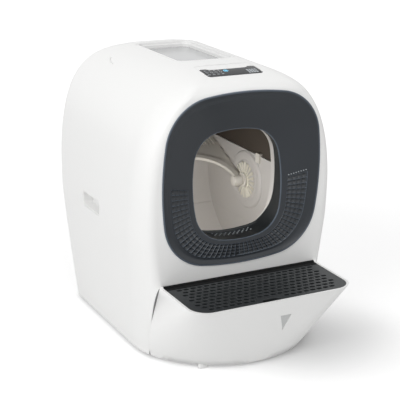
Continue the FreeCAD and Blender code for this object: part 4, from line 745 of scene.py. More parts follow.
def make_throat():
    """Dark collar from the lip, its pale continuation, and small studs on the floor, whose pale colour is
    painted highlight.
    """
    collar = collar_skin("throat_collar_skin", [(k / 6, collar_end) for k in range(7)],
                         [(0.0, collar_end), (1.0, collar_end)])
    ends = [(1.0, lambda z: collar_end(z) + 0.1), (1.0, lambda z: THROAT_END)]
    sleeve = collar_skin("throat_sleeve", ends, ends)
    studs = []
    for row, depth in enumerate(STUD_ROWS):
        count = STUD_COUNT - row % 2
        for k in range(count):
            x = STUD_CENTRE + STUD_PITCH * (k - (count - 1) / 2.0)
            studs.append(dome((x, depth, throat_floor(x, depth)), STUD_RADIUS, STUD_RISE, 2))
    return collar, sleeve, smooth(joined("throat_studs", studs), 50.0)


def make_sill():
    """Low rounded bead across the rear edge of the collar's floor."""
    middle = (SILL[0] + SILL[1]) / 2.0
    loops = []
    for k in range(41):
        x = SILL_HALF_LENGTH * (k / 20.0 - 1.0)
        rise = SILL_HEIGHT * (1.02 - (x / SILL_HALF_LENGTH) ** 4)
        low = throat_floor(x, SILL[1]) - 0.5
        loops.append([spot(x, middle + (SILL[1] - SILL[0]) / 2.0 * u, low + (rise + 0.5) * v)
                      for u, v in arc((0.0, 0.0), 1.0, 0.0, 180.0, 12)])
    return smooth(skin("throat_sill", loops), 50.0)


def throat_floor(x, depth):
    """Height of the throat's floor at a place, from the lip's outline at that depth."""
    start = LIP_DEPTH + WALL + CLEARANCE
    tilt = LIP_TILT * (THROAT_END - depth) / (THROAT_END - start)
    loop = bezel_loop(1.0, depth, 0.0, tilt, even_shares(512))
    lower = [p for p in loop if p[2] < LIP_CENTRE]
    return min(lower, key=lambda p: abs(p[0] - x))[2]


def seam_depth(z, ahead=(0.0, 0.0)):
    """Depth of the slanted seam between drawer and body at a height, or of a plane in front of it.
    How far in front is given on the floor and at the step's height."""
    share = z / STEP_HEIGHT
    return SEAM_FLOOR - ahead[0] + (SEAM_TOP - SEAM_FLOOR + ahead[0] - ahead[1]) * share


def seam_wedge(name, ahead, top, front):
    """Everything in front of the slanted seam, or behind it, up to a height."""
    far = -FAR if front else FAR
    low = -WALL
    section = [(far, low), (seam_depth(low, ahead), low), (seam_depth(top, ahead), top), (far, top)]
    return prism(name, section, -FAR, FAR, 0)


def prow_outline(half_width, front, corner, back):
    """An outline that is square behind and has two round corners in front."""
    left = arc((corner - half_width, front + corner), corner, 180.0, 270.0, 28)
    right = arc((half_width - corner, front + corner), corner, 270.0, 360.0, 28)
    return left + right + [(half_width, back), (-half_width, back)]


def prow_loops(inset, z0, z1, bands):
    """The drawer's level outlines: one arc on the floor, a rounded step on top."""
    back = STEP_FLOOR_FRONT + STEP_FLOOR_RADIUS + STEP_CORNER
    radius = STEP_FLOOR_RADIUS - inset
    floor = prow_outline(radius, STEP_FLOOR_FRONT + inset, radius - 1.0, back)
    step = prow_outline(STEP_HALF_WIDTH - inset, -STEP_REACH + inset, STEP_CORNER - inset, back)
    loops = []
    for k in range(bands + 1):
        z = z0 + (z1 - z0) * k / bands
        share = z / STEP_HEIGHT
        loops.append([spot(mix(a[0], b[0], share), mix(a[1], b[1], share), z) for a, b in zip(floor, step)])
    return loops


def step_slab(name, inset, z0, z1, back):
    """A level slab with the step's outline, moved inwards."""
    loop = prow_outline(STEP_HALF_WIDTH - inset, -STEP_REACH + inset, STEP_CORNER - inset, back)
    return prism(name, loop, z0, z1)


def triangle_prism(name, low, high):
    """A prism on the drawer's triangular recess, between two distances from its front."""
    slope = (STEP_FLOOR_FRONT + STEP_REACH) / STEP_HEIGHT
    length = math.hypot(1.0, slope)
    return skin(name, [[spot(x, STEP_FLOOR_FRONT - slope * z - out / length, z - out * slope / length)
                        for x, z in TRIANGLE] for out in (low, high)])


def make_drawer():
    """Hollow drawer front with the tread's stepped pocket in its top."""
    shell, form = [skin(name, prow_loops(0.0, FOOT_HEIGHT, STEP_HEIGHT, 10))
                   for name in ("drawer_front", "drawer_form")]
    ledge = TREAD_LOW - CLEARANCE - WALL
    hollow, window = [skin(name, prow_loops(WALL, FOOT_HEIGHT + WALL, ledge, 6))
                      for name in ("drawer_hollow", "drawer_window")]
    carve(hollow, [seam_wedge("hollow_back", [gap + WALL for gap in SEAM_GAP], STEP_HEIGHT + WALL, False)])
    middle = block("window_block", -BIN_WINDOW, BIN_WINDOW, -STEP_REACH / 4.0, FAR, 0.0, FAR)
    carve(window, [middle], "INTERSECT")
    carve(shell, [seam_wedge("shell_back", SEAM_GAP, STEP_HEIGHT + WALL, False), hollow, window,
                  step_slab("tread_pocket", TREAD_RIM, TREAD_LOW - CLEARANCE, FAR, WALL),
                  step_slab("tread_well", TREAD_RIM + TREAD_LEDGE, ledge - 1.0, FAR,
                            TREAD_BACK - TREAD_LEDGE),
                  triangle_prism("triangle_cut", -TRIANGLE_CUT, 6.0)])
    borrow_normals(shell, form)
    discard(form)
    return shell


def make_foot():
    """Small pale foot under the drawer's front edge."""
    x, y = FOOT_PLACE
    half_x, half_y = FOOT_HALF
    loop = rounded_box((x - half_x, x + half_x, y - half_y, y + half_y), half_y - 1.0)
    return smooth(prism("drawer_foot", loop, 0.3, FOOT_HEIGHT + WALL))


def make_seam_shade_strip():
    """Grey strip along the edge of the drawer's bay, set back from the body's side: painted shade that darkens
    the seam's line.
    """
    outer, inner = SHADE_STRIP_INSETS
    shade_strip = skin("bay_seam_shade", body_loops(inner)[::-1] + body_loops(outer))
    carve(shade_strip, [seam_wedge("shade_strip_seam", (0.0, 0.0), STEP_HEIGHT - WALL, True)], "INTERSECT")
    return carve(shade_strip, [seam_wedge("shade_strip_room", SHADE_STRIP_THICKNESS, STEP_HEIGHT, True)])


def make_flange():
    """White frame at both sides of the drawer's bay, just behind its edge."""
    flange = skin("bay_flange", body_loops(SHADE_STRIP_INSETS[0]))
    carve(flange, [seam_wedge("flange_back", BAY_FLANGE, STEP_HEIGHT - WALL, True)], "INTERSECT")
    return smooth(carve(flange, [seam_wedge("flange_front", (0.0, 0.0), STEP_HEIGHT, True),
                                 block("flange_window", -BAY_WINDOW, BAY_WINDOW, -FAR, FAR, -FAR, FAR)]))


def hinge_bar(name, x0, x1):
    """A round bar with softened ends along the tread's hinge."""
    r = BARREL_RADIUS
    profile = [(r - 0.5, x0), (r, x0 + 0.5), (r, x1 - 0.5), (r - 0.5, x1)]
    return smooth(lathe_x(name, profile, sides=40, centre=BARREL))


def tread_outline():
    """The tread's outline, with the finger notch in its front edge."""
    inset = TREAD_RIM + CLEARANCE
    front = inset - STEP_REACH
    w = STEP_HALF_WIDTH - inset
    corner = STEP_CORNER - inset
    left, right = NOTCH
    bend = NOTCH_BACK - NOTCH_CORNER
    return outline([arc((corner - w, front + corner), corner, 180.0, 270.0, 20), [(left, front)],
                    arc((left + NOTCH_CORNER, bend), NOTCH_CORNER, 180.0, 90.0, 8),
                    arc((right - NOTCH_CORNER, bend), NOTCH_CORNER, 90.0, 0.0, 8), [(right, front)],
                    arc((w - corner, front + corner), corner, 270.0, 360.0, 20),
                    [(w, BARREL[0]), (-w, BARREL[0])]])


def hole_outline(x, y):
    """One oval hole of the tread."""
    half_x = HOLE_SIZE[0] / 2.0
    half_y = HOLE_SIZE[1] / 2.0
    return ([(x + half_x - half_y + u, y + v) for u, v in arc((0.0, 0.0), half_y, -90.0, 90.0, 7)]
            + [(x - half_x + half_y + u, y + v) for u, v in arc((0.0, 0.0), half_y, 90.0, 270.0, 7)])


def tread_holes():
    """The tread's staggered rows of holes, clear of the notch and the rounded corners."""
    holes = []
    half = HOLE_PITCH[0] * (HOLE_COLUMNS - 1) / 2.0
    for row in range(HOLE_ROWS):
        y = HOLE_FIRST_ROW + HOLE_PITCH[1] * row
        count = HOLE_COLUMNS - row % 2
        for k in range(count):
            x = HOLE_PITCH[0] * (k - (count - 1) / 2.0)
            near_notch = NOTCH[0] - HOLE_SIZE[0] < x < NOTCH[1] + HOLE_SIZE[0]
            near_corner = abs(x) > half - HOLE_PITCH[0] / 2.0
            if row or not (near_notch or near_corner):
                holes.append(hole_outline(x, y))
    return holes


def make_tread():
    """Perforated plate with softened hole edges."""
    curve = bpy.data.curves.new("tread_plan", "CURVE")
    curve.dimensions = "2D"
    curve.fill_mode = "BOTH"
    for loop in [tread_outline()] + tread_holes():
        spline = curve.splines.new("POLY")
        spline.points.add(len(loop) - 1)
        for point, (x, y) in zip(spline.points, loop):
            point.co = (*spot(x, y, 0.0), 1.0)
        spline.use_cyclic_u = True
    curve.extrude = ((TREAD_TOP - TREAD_LOW) / 2.0 - TREAD_SOFT) * MM
    curve.bevel_depth = TREAD_SOFT * MM
    curve.bevel_resolution = 1
    curve.offset = -TREAD_SOFT * MM
    plan = placed("tread_plan", curve)
    mesh = final_mesh(plan)
    mesh.transform(Matrix.Translation((0.0, 0.0, (TREAD_TOP + TREAD_LOW) / 2.0 * MM)))
    bpy.data.objects.remove(plan)
    return smooth(placed("tread_grating", mesh), 50.0)


def make_hub(side):
    """Capped hub with a flange and a groove beside it."""
    r = HUB_RADIUS
    wide = FLANGE_RADIUS
    start = HUB_INNER
    inner, outer = FLANGE
    profile = [(0.4, start), (r - 2.0, start), (r - 0.6, start + 0.5), (r, start + 1.8), (r, inner - 3.2),
               (r - 1.6, inner - 2.9), (r - 1.6, inner - 0.6), (wide - 0.8, inner), (wide, inner + 0.8),
               (wide, outer - 0.8), (wide - 0.8, outer), (r, outer), (r, HUB_OUTER)]
    return smooth(lathe_x("hub", profile, side, 72))


def make_boss(side):
    """Round plate on the tub's side wall, with a soft edge and a shallow ring."""
    face = BOSS_FACE
    inner = BRUSH_RADIUS
    outer = BOSS_RADIUS
    profile = [(SHAFT_HOLE, face), (inner + 3.0, face), (inner + 4.0, face + 0.5), (inner + 6.0, face + 0.5),
               (inner + 7.0, face), (outer - 4.6, face), (outer - 3.6, face + 0.3),
               (outer - 0.6, TUB_HALF_WIDTH - 0.6), (outer, TUB_HALF_WIDTH)]
    return smooth(lathe_x("boss", profile, side, 128))


def make_brush(side, chance):
    """Ring of bristle tufts that sweep the boss, fanned from a round core."""
    low, high = BRUSH_FACE
    profile = [(SHAFT_HOLE, low), (BRUSH_CORE - 1.0, low), (BRUSH_CORE, low + 0.8), (BRUSH_CORE, high)]
    bristles = [lathe_x("core", profile, side, 64)]
    for tuft in range(BRUSH_TUFTS):
        turn = 360.0 * tuft / BRUSH_TUFTS
        for _ in range(TUFT_BRISTLES):
            root = radians(turn + chance.uniform(-1.6, 1.6))
            tip = radians(turn + chance.uniform(-TUFT_HALF_ANGLE, TUFT_HALF_ANGLE))
            bristles.append(make_bristle(side, root, tip, chance.uniform(0.93, 1.0) * BRUSH_RADIUS,
                                         chance.uniform(low + 0.5, high - 0.5)))
    return smooth(joined("brush", bristles), 60.0)


def make_bristle(side, root, tip, reach, x):
    """One tapered bristle from the core to its tip."""
    start = Vector((0.0, cos(root), sin(root))) * (BRUSH_CORE - 2.0)
    end = Vector((0.0, cos(tip), sin(tip))) * reach
    across = Vector((0.0, -sin(tip), cos(tip)))
    loops = []
    for centre, radius in ((start, 0.70), ((start + end) / 2.0, 0.66), (end, 0.40)):
        loops.append([spot(side * (x + radius * cos(a)), AXIS[0] + centre.y + across.y * radius * sin(a),
                           AXIS[1] + centre.z + across.z * radius * sin(a))
                      for a in (0.0, math.pi / 2.0, math.pi, 1.5 * math.pi)])
    return skin("bristle", loops)


def crescent():
    """The nail mark's form, as a thin curved prism let into the left shoulder."""
    x, y = MARK
    lean = radians(MARK_LEAN)
    centre = (x + MARK_RADIUS * cos(lean), y + MARK_RADIUS * sin(lean))
    start = 180.0 + MARK_LEAN - MARK_SPAN
    end = 180.0 + MARK_LEAN + MARK_SPAN
    loop = arc(centre, MARK_RADIUS, start, end, 24) + arc(centre, MARK_RADIUS - MARK_WIDTH, end, start, 24)
    form = prism("crescent", loop, FRONT_TOP_START - 60.0, BODY_HEIGHT)
    return carve(form, [skin("mark_floor", body_loops(MARK_CUT))])


def walled(name):
    """The body's wall as a closed shell."""
    return skin(name, body_loops(WALL)[::-1] + body_loops(0.0))


def make_shell(form):
    """White housing, cut for the entrance, drawer, tray, strip, grips and rear panel."""
    shares = even_shares(BEZEL_POINTS)
    entrance = [bezel_spots(0.0, depth, CLEARANCE / 2.0, 0.0, shares) for depth in (-WALL, 4.0 * WALL)]
    cuts = [skin("entrance", entrance),
            seam_wedge("bay", (0.0, 0.0), STEP_HEIGHT + CLEARANCE, True),
            prism("tray_hole", rounded_box(TRAY, TRAY_CORNER), TRAY_FLOOR - CLEARANCE, FAR),
            prism("panel_hole", rounded_box(PANEL, PANEL_CORNER), FRONT_TOP_START, FAR),
            prism("rear_hole", rounded_box(REAR, REAR_CORNER), REAR_CUT, FAR, 1),
            prism("grip_holes", rounded_box(GRIP, GRIP_CORNER), -FAR, FAR, 0), crescent()]
    return borrow_normals(carve(walled("housing_skin"), cuts), form)


def make_rear_panel(form):
    """Service panel that follows the back, with its column of vents and the inlet's hole."""
    panel = walled("rear_panel_skin")
    pad = prism("rear_pad", rounded_box(REAR, REAR_CORNER, -CLEARANCE), REAR_CUT, FAR, 1)
    carve(panel, [pad], "INTERSECT")
    vents = []
    for k in range(VENT_COUNT):
        low = VENT_LOW + VENT_PITCH * k
        sides = (-VENT_HALF_LENGTH, VENT_HALF_LENGTH, low, low + VENT_WIDTH)
        vents.append(prism("vent", rounded_box(sides, VENT_WIDTH / 2.0 - 0.05), MIDDLE_DEPTH, FAR, 1))
    hole = prism("inlet_hole", ring(INLET, INLET_RADIUS, 40), MIDDLE_DEPTH, FAR, 1)
    carve(panel, [joined("vents", vents), hole])
    return borrow_normals(panel, form)


def crown_loops(tree, sides, corner, steps):
    """Outlines moved outwards, at a height or at a distance from the body's top."""
    return [[spot(x, y, (crown(tree, x, y) if from_top else 0.0) + level)
             for x, y in rounded_box(sides, corner, outset)] for outset, level, from_top in steps]


def make_tray(tree):
    """Lift-off tray: a rim that follows the top's crown, a ledge, walls and a floor."""
    edge = -CLEARANCE
    step = -TRAY_STEP
    wall = step - TRAY_WALL
    floor = TRAY_FLOOR + TRAY_WALL
    rim = [(edge - 1.0, TRAY_FLOOR, False), (edge, TRAY_FLOOR + 1.0, False), (edge, -1.3, True),
           (edge - 0.3, -0.5, True), (edge - 1.1, -0.02, True), (step + 1.1, -0.02, True),
           (step + 0.3, -0.4, True), (step, -1.1, True)]
    ledge = [(step, TRAY_LEDGE + 0.5, False), (step - 0.5, TRAY_LEDGE, False), (wall + 0.5, TRAY_LEDGE, False)]
    basin = [(wall, TRAY_LEDGE - 0.5, False), (wall, floor + 1.0, False), (wall - 1.0, floor, False)]
    return smooth(skin("tray_skin", crown_loops(tree, TRAY, TRAY_CORNER, rim + ledge + basin)), 35.0)


def make_mat():
    """Smooth mat with softened edges on the tray's floor."""
    inset = -TRAY_STEP - TRAY_WALL - CLEARANCE
    low = TRAY_FLOOR + TRAY_WALL
    steps = [(inset, low), (inset, MAT_TOP - 0.5), (inset - 0.5, MAT_TOP)]
    return smooth(skin("mat_skin", [[spot(x, y, z) for x, y in rounded_box(TRAY, TRAY_CORNER, outset)]
                                    for outset, z in steps]))


def make_well(tree):
    """White well under the tray, hung from the top."""
    low = TRAY_FLOOR - CLEARANCE
    steps = [(0.0, -0.9, True), (0.0, low, False), (-SHELF_WIDTH, low, False),
             (-SHELF_WIDTH, low - WALL, False), (WALL, low - WALL, False), (WALL, -0.9, True)]
    return smooth(skin("tray_well", crown_loops(tree, TRAY, TRAY_CORNER, steps), wrap=True))


def make_strip(tree):
    """White plate in the top's opening, and the dark lens laid on its front part."""
    plate = [(-0.15, -WALL, True), (-0.15, -0.45, True), (-0.4, -0.27, True)]
    plate += [(-outset, -0.25, True) for outset in (1.5, 4.0, 8.0, 13.0, 18.0, 23.0, 28.0, 32.0)]
    lens = [(0.0, -0.7, True), (0.0, -0.25, True), (-0.3, -0.07, True)]
    lens += [(-outset, -0.05, True) for outset in (1.2, 4.0, 8.0, 12.0, 16.0, 20.0)]
    return [smooth(skin(name, crown_loops(tree, sides, corner, steps)))
            for name, sides, corner, steps in (("strip_plate", PANEL, PANEL_CORNER, plate),
                                               ("lens_skin", LENS, LENS_CORNER, lens))]


def make_grip(tree, side):
    """Grip pocket: a rim flush with the body's side, and a smooth cup behind it."""
    def loop(outset, x=None, sunk=0.0):
        points = rounded_box(GRIP, GRIP_CORNER, outset)
        return [spot(side * (flank(tree, y, z) - sunk if x is None else x), y, z) for y, z in points]
    rim = CLEARANCE
    lip = CLEARANCE + WALL
    back = GRIP_FLOOR - WALL
    loops = [loop(-rim, back), loop(-rim, sunk=1.2), loop(-rim - 0.4, sunk=0.3), loop(-rim - 1.1, sunk=0.02),
             loop(-lip + 0.9, sunk=0.1), loop(-lip, sunk=1.2), loop(-lip, GRIP_FLOOR + 3.0),
             loop(-lip - 1.0, GRIP_FLOOR + 1.0), loop(-lip - 3.0, GRIP_FLOOR)]
    return smooth(skin("grip_" + ("right" if side > 0 else "left"), loops))


def icon(tree, points):
    """A flat mark printed on the strip."""
    lifted = [spot(x, y, crown(tree, x, y)) for x, y in points]
    return solid("mark", lifted, [tuple(range(len(lifted)))])


def ring_icon(tree, centre, radius, width):
    """A ring printed on the strip."""
    return skin("mark", [[spot(x, y, crown(tree, x, y)) for x, y in ring(centre, r, 24)]
                         for r in (radius, radius - width)], ends=False)


def bar_icon(tree, x, y, width, depth):
    """A small level bar printed on the strip."""
    return icon(tree, [(x, y), (x + width, y), (x + width, y + depth), (x, y + depth)])


def make_icons(tree):
    """Plain signs on the strip: rings, bars and peaks, a lamp and a grid."""
    marks = []
    y = ICON_MIDDLE
    for k in range(4):
        x = ICON_LEFT + ICON_PITCH * k
        marks.append(ring_icon(tree, (x, y), 3.2, 0.9))
        marks.append(bar_icon(tree, x - 3.0, y - 12.0, 6.0, 1.6))
        marks.append(bar_icon(tree, x - 1.0, y - 8.6, 2.0, 1.4))
        marks.append(icon(tree, [(x - 2.4, y + 8.0), (x + 2.4, y + 8.0), (x, y + 12.0)]))
    for row in range(3):
        for column in range(4):
            marks.append(bar_icon(tree, GRID_CORNER[0] + 6.0 * column, GRID_CORNER[1] + 6.4 * row, 4.6, 4.8))
    lamp = [ring_icon(tree, LAMP_PLACE, 5.4, 1.5), icon(tree, arc(LAMP_PLACE, 2.6, 0.0, 345.0, 16))]
    return joined("strip_marks", marks), joined("strip_lamp", lamp)


def colour(*display):
    """A display colour given in 0 to 255, in linear light."""
    shares = [value / 255.0 for value in display]
    return tuple(s / 12.92 if s <= 0.04045 else ((s + 0.055) / 1.055) ** 2.4 for s in shares) + (1.0,)


def shaded(shade, tone):
    """A colour made lighter or darker."""
    return tuple(min(c * tone, 1.0) for c in shade[:3]) + (1.0,)


def fill(node, values):
    """Sets a node's inputs, or links those that are given an output."""
    for key, value in values.items():
        if isinstance(value, bpy.types.NodeSocket):
            node.id_data.links.new(value, node.inputs[key])
        else:
            node.inputs[key].default_value = value


def new_node(tree, kind, values=None, **settings):
    """A shader node with its settings and inputs."""
    node = tree.nodes.new("ShaderNode" + kind)
    for key, value in settings.items():
        setattr(node, key, value)
    fill(node, values or {})
    return node


def ramp(tree, value, start, end, low=0.0, high=1.0, **settings):
    """A value carried from one range (low, high) to another."""
    values = {"Value": value, "From Min": low, "From Max": high, "To Min": start, "To Max": end}
    return new_node(tree, "MapRange", values, **settings).outputs["Result"]


def combined(tree, operation, first, second):
    """Two values added, multiplied or compared."""
    return new_node(tree, "Math", {0: first, 1: second}, operation=operation).outputs["Value"]


def new_material(name):
    """A material with its node tree and its shader."""
    material = bpy.data.materials.new(name)
    material.use_nodes = True
    return material, material.node_tree, material.node_tree.nodes["Principled BSDF"]


def noise(tree, source, scale, detail):
    """A noise texture in the object's own space."""
    values = {"Scale": scale, "Detail": detail, "Vector": source.outputs["Object"]}
    return new_node(tree, "TexNoise", values).outputs["Fac"]


def drifting(tree, factor, dark, pale):
    """A colour that drifts between two tones."""
    return new_node(tree, "Mix", {"A": dark, "B": pale, "Factor": factor}, data_type="RGBA").outputs["Result"]


def paint_ridge_highlight_and_hollow_shade(tree, tones, ridge_highlight):
    """A colour made paler on raised edges and darker in hollows, by pointiness: painted highlight on the
    ridges and painted shade in the hollows.
    """
    shape = new_node(tree, "NewGeometry").outputs["Pointiness"]
    raised = ramp(tree, shape, 1.0, 1.0 + ridge_highlight, *RIDGE_HIGHLIGHT_POINTINESS)
    hollow = ramp(tree, shape, HOLLOW_SHADE_TONE, 1.0, *HOLLOW_SHADE_POINTINESS)
    scale = combined(tree, "MULTIPLY", raised, hollow)
    return new_node(tree, "VectorMath", {0: tones, "Scale": scale}, operation="SCALE").outputs["Vector"]


def plastic(name, display, roughness, drift, grain, bump, soften=0.0, metallic=0.0, specular=0.5, coat=0.0,
            glow=0.0, ridge_highlight=0.0):
    """Moulded material: slow drift of tone, fine grain, softened edges, and paler ridges and darker hollows as
    painted highlight and painted shade.
    """
    shade = colour(*display)
    material, tree, shader = new_material(name)
    source = new_node(tree, "TexCoord")
    slow = noise(tree, source, DRIFT_SCALE, 3.0)
    tones = drifting(tree, slow, shaded(shade, 1.0 - drift), shaded(shade, 1.0 + drift))
    # Painted highlight on ridges and painted shade in hollows
    if ridge_highlight:
        tones = paint_ridge_highlight_and_hollow_shade(tree, tones, ridge_highlight)
    fine = noise(tree, source, grain, 2.0)
    gloss = ramp(tree, fine, max(roughness - GLOSS_SPREAD, 0.02), min(roughness + GLOSS_SPREAD, 1.0))
    relief = new_node(tree, "Bump", {"Strength": bump, "Distance": GRAIN_DEPTH, "Height": fine})
    if soften:
        fill(relief, {"Normal": new_node(tree, "Bevel", {"Radius": soften}, samples=4).outputs["Normal"]})
    fill(shader, {"Base Color": tones, "Roughness": gloss, "Normal": relief.outputs["Normal"],
                  "Metallic": metallic, "Specular IOR Level": specular, "Coat Weight": coat,
                  "Coat Roughness": COAT_ROUGHNESS})
    if glow:
        fill(shader, {"Emission Color": shade, "Emission Strength": glow})
    return name, material


def make_materials():
    """Every finish on the object, by its name."""
    return dict([
        plastic("shell_white", (240, 240, 239), 0.34, 0.008, 900.0, 0.03, 0.0010),
        # The bezel gets painted highlight on its ridges and painted shade in its pockets
        plastic("bezel_grey", (37, 42, 48), 0.38, 0.04, 1100.0, 0.10, 0.0003, ridge_highlight=5.5),
        plastic("throat_dark", (25, 29, 31), 0.42, 0.05, 900.0, 0.08, 0.0005),
        plastic("tub_cream", (208, 204, 199), 0.45, 0.02, 600.0, 0.05, 0.0010),
        plastic("hood_taupe", (76, 68, 60), 0.50, 0.05, 500.0, 0.10, 0.0010),
        plastic("comb_cream", (222, 217, 207), 0.40, 0.02, 600.0, 0.05, 0.0008),
        plastic("brush_cream", (232, 227, 212), 0.60, 0.05, 1500.0, 0.15),
        plastic("panel_black", (26, 29, 33), 0.24, 0.03, 300.0, 0.01, 0.0004, specular=0.22),
        plastic("mat_grey", (180, 181, 182), 0.16, 0.02, 300.0, 0.02, coat=0.3),
        plastic("foot_rubber", (176, 176, 174), 0.72, 0.08, 700.0, 0.25, 0.0006),
        plastic("steel", (176, 178, 180), 0.30, 0.05, 400.0, 0.05, 0.0003, metallic=1.0),
        plastic("pan_grey", (150, 151, 152), 0.55, 0.04, 600.0, 0.10, 0.0008),
        plastic("bush_white", (226, 226, 222), 0.42, 0.02, 700.0, 0.05, 0.0004),
        plastic("bin_grey", (104, 107, 110), 0.50, 0.04, 600.0, 0.10, 0.0006),
        plastic("board_green", (34, 84, 56), 0.45, 0.10, 350.0, 0.20),
        plastic("inlet_black", (28, 29, 30), 0.45, 0.05, 900.0, 0.08, 0.0003),
        plastic("filter_grey", (74, 76, 78), 0.85, 0.15, 250.0, 0.60),
        plastic("cell_aluminium", (196, 198, 200), 0.38, 0.05, 500.0, 0.08, 0.0003, metallic=1.0),
        plastic("tread_dark", (38, 41, 43), 0.50, 0.06, 900.0, 0.18, 0.0004),
        # Near-black hinge parts: painted shade for the dark band behind the tread
        plastic("hinge_shade_black", (12, 13, 14), 0.60, 0.05, 900.0, 0.05, specular=0.15),
        # Painted shade for the dark line of the drawer's seam
        plastic("seam_shade_grey", (118, 119, 120), 0.70, 0.05, 900.0, 0.05, specular=0.2),
        # Painted shade for the triangle's recess
        plastic("triangle_shade_grey", (198, 199, 199), 0.40, 0.02, 900.0, 0.04),
        # Pale grey for printed signs, and painted highlight on the throat's studs
        plastic("print_and_highlight_grey", (176, 182, 186), 0.45, 0.06, 900.0, 0.05),
        plastic("lamp_blue", (96, 190, 226), 0.35, 0.05, 900.0, 0.02, glow=0.5),
    ])


def paint_nodes():
    """Gives every carried-over node the finish of its slot in the record."""
    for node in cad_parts.values():
        for holder in node.material_slots:
            key = holder.material.name.split(".")[0] if holder.material else ""
            if key in materials:
                holder.material = materials[key]


def dress_body():
    """The housing, its inserts in the top and sides, the seam's parts and the rear panel."""
    form = skin("body_form", body_loops(0.0))
    tree = surface_tree(form)
    dress(make_shell(form), "base", "shell_white", ["housing_shell"])
    dress(make_rear_panel(form), "base", "shell_white", ["rear_panel"])
    discard(form)
    dress(make_well(tree), "base", "shell_white")
    dress(make_tray(tree), "tray", "shell_white", ["top_tray"])
    dress(make_mat(), "tray", "mat_grey", ["tray_mat"])
    plate, lens = make_strip(tree)
    dress(plate, "base", "shell_white")
    dress(lens, "base", "panel_black", ["panel_lens"])
    # Grey strip on the bay's edge: painted shade along the seam
    dress(make_seam_shade_strip(), "base", "foot_rubber", finish="seam_shade_grey")
    dress(make_flange(), "base", "shell_white")
    marks, lamp = make_icons(tree)
    dress(marks, "base", "panel_black", finish="print_and_highlight_grey")
    dress(lamp, "base", "panel_black", finish="lamp_blue")
    for side, node in ((-1, "grip_cup_left"), (1, "grip_cup_right")):
        dress(make_grip(tree, side), "base", "shell_white", [node])


def dress_entrance():
    """The bezel with its domes, and the throat with its sill and studs."""
    dress(make_bezel(), "base", "bezel_grey", ["bezel_ring"])
    dress(make_ticks(), "base", "bezel_grey", finish="print_and_highlight_grey")
    collar, sleeve, studs = make_throat()
    dress(collar, "base", "throat_dark", ["throat_collar"])
    dress(sleeve, "base", "tub_cream")
    dress(make_sill(), "base", "throat_dark")
    # The studs' pale colour is painted highlight
    dress(studs, "base", "throat_dark", finish="print_and_highlight_grey")


def dress_scoop():
    """Bosses on the tub, hubs and brushes on the scoop."""
    chance = random.Random(7)
    dress(both_sides("boss_plates", make_boss), "base", "tub_cream", ["hub_bosses"])
    dress(both_sides("hub_caps", make_hub), "scoop", "comb_cream", ["scoop_hubs"])
    brushes = both_sides("brush_rings", lambda side: make_brush(side, chance), 60.0)
    dress(brushes, "scoop", "brush_cream", ["hub_brushes"])


def dress_drawer():
    """The drawer's front, ears and foot, the grey plate painted as shade in the triangle's recess, and the
    tread with its barrel and leaf.
    """
    dress(make_drawer(), "drawer", "shell_white", ["drawer_shell"])
    inner = STEP_HALF_WIDTH - TREAD_RIM

    def ear(side):
        return hinge_bar("ear", *sorted((side * inner, side * STEP_HALF_WIDTH)))
    dress(both_sides("drawer_ears", ear), "drawer", "shell_white")
    dress(make_foot(), "drawer", "shell_white")
    # Grey plate in the triangle's recess: painted shade
    shade_plate = triangle_prism("triangle_shade_plate", -TRIANGLE_CUT, TRIANGLE_SHADE_PLATE - TRIANGLE_CUT)
    dress(shade_plate, "drawer", "shell_white", finish="triangle_shade_grey")
    dress(make_tread(), "tread", "bezel_grey", ["tread_plate"], "tread_dark")
    half = inner - CLEARANCE
    # The barrel and leaf are near-black as painted shade for the dark band behind the tread
    dress(hinge_bar("tread_barrel", -half, half), "tread", "bezel_grey", finish="hinge_shade_black")
    leaf = prism("tread_leaf", rounded_box((-half, half, *LEAF), 1.0), TREAD_TOP - 0.5, LEAF_TOP)
    dress(smooth(leaf), "tread", "bezel_grey", finish="hinge_shade_black")


def make_floor():
    """Pale floor that shows white to the camera and keeps the object's shadow; its lift fades out round a
    place beside the object, as a painted shadow.
    """
    half = FLOOR_HALF
    floor = solid("floor", [(-half, -half, 0.0), (half, -half, 0.0), (half, half, 0.0), (-half, half, 0.0)],
                  [(0, 1, 2, 3)])
    material, tree, shader = new_material("floor_pale")
    source = new_node(tree, "TexCoord")
    dark, pale = [(tone, tone, tone, 1.0) for tone in (FLOOR_TONE, FLOOR_TONE + 0.02)]
    # The lift is least near that place, which paints a shadow there
    place = {0: source.outputs["Object"], 1: PAINTED_SHADOW_PLACE}
    reach = new_node(tree, "VectorMath", place, operation="DISTANCE").outputs["Value"]
    near, far = [ramp(tree, reach, 0.0, level, *limits, interpolation_type="SMOOTHSTEP")
                 for level, limits in ((NEAR_LIFT, PAINTED_SHADOW_REACH), (FAR_LIFT, FAR_REACH))]
    seen = new_node(tree, "LightPath").outputs["Is Camera Ray"]
    lift = combined(tree, "MULTIPLY", seen, combined(tree, "ADD", near, far))
    fill(shader, {"Base Color": drifting(tree, noise(tree, source, 2.0, 2.0), dark, pale), "Roughness": 0.9,
                  "Specular IOR Level": 0.2, "Emission Color": WHITE, "Emission Strength": lift})
    floor.data.materials.append(material)


def make_world():
    """Even studio light that shows white behind the object."""
    world = bpy.data.worlds.new("studio")
    bpy.context.scene.world = world
    world.use_nodes = True
    tree = world.node_tree
    path = new_node(tree, "LightPath")
    seen = path.outputs["Is Camera Ray"]
    for kind in ("Is Glossy Ray", "Is Transmission Ray"):
        seen = combined(tree, "MAXIMUM", seen, path.outputs[kind])
    fill(tree.nodes["Background"], {"Color": WHITE, "Strength": ramp(tree, seen, WORLD_LEVEL, 1.0)})


def softbox(name, place, aim, size, level):
    """A square soft light turned to its aim."""
    light = bpy.data.lights.new(name, "AREA")
    light.shape = "SQUARE"
    light.size = size
    light.energy = level
    lamp = placed(name, light)
    lamp.location = place
    lamp.rotation_euler = (Vector(aim) - Vector(place)).to_track_quat("-Z", "Y").to_euler()
    lamp.visible_camera = False


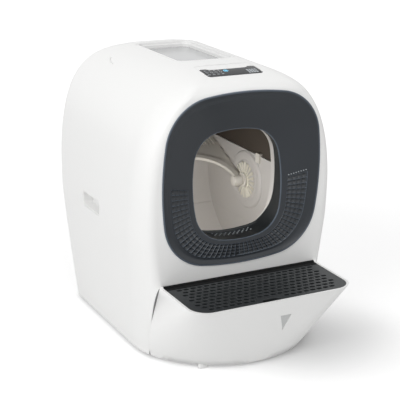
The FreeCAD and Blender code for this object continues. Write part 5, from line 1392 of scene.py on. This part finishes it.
def make_lights():
    """Large lights at the left, in front and above, and a small lamp in the chamber."""
    softbox("key", (-2.6, -1.2, 2.2), LIGHT_AIM, LIGHT_SIZE, KEY_LEVEL)
    softbox("side", (-3.0, 0.3, 1.3), LIGHT_AIM, LIGHT_SIZE, SIDE_LEVEL)
    softbox("front", (-0.4, -2.4, 2.8), LIGHT_AIM, LIGHT_SIZE, FRONT_LEVEL)
    softbox("top", (0.2, 0.4, 3.0), LIGHT_AIM, TOP_LIGHT_SIZE, TOP_LEVEL)
    softbox("chamber", spot(-80.0, 120.0, 340.0), spot(90.0, 300.0, 290.0), 0.10, CHAMBER_LEVEL)


def make_camera():
    """The photograph's viewpoint."""
    turn = radians(CAMERA_AZIMUTH)
    rise = radians(CAMERA_ELEVATION)
    roll = radians(CAMERA_ROLL)
    ahead = Vector((cos(rise) * sin(-turn), cos(rise) * cos(turn), -sin(rise)))
    level = ahead.cross(Vector((0.0, 0.0, 1.0))).normalized()
    upright = level.cross(ahead)
    right = level * cos(roll) + upright * sin(roll)
    up = upright * cos(roll) - level * sin(roll)
    data = bpy.data.cameras.new("camera")
    data.sensor_width = SENSOR_WIDTH
    data.lens = CAMERA_FOCAL_PIXELS / IMAGE_WIDTH * SENSOR_WIDTH
    data.clip_start = 0.05
    data.clip_end = 100.0
    camera = placed("camera", data)
    turned = Matrix((right, up, -ahead)).transposed().to_4x4()
    camera.matrix_world = Matrix.Translation(CAMERA_PLACE) @ turned
    bpy.context.scene.camera = camera


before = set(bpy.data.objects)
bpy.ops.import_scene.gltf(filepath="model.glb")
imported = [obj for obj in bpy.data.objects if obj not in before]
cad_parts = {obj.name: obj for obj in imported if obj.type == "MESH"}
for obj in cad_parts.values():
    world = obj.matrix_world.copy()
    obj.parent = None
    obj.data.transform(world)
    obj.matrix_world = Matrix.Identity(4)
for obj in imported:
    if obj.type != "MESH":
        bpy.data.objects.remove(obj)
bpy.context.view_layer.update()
bpy.context.scene.view_settings.view_transform = "Standard"
make_camera()
materials = make_materials()
paint_nodes()
dress_body()
dress_entrance()
dress_scoop()
dress_drawer()
make_floor()
make_world()
make_lights()
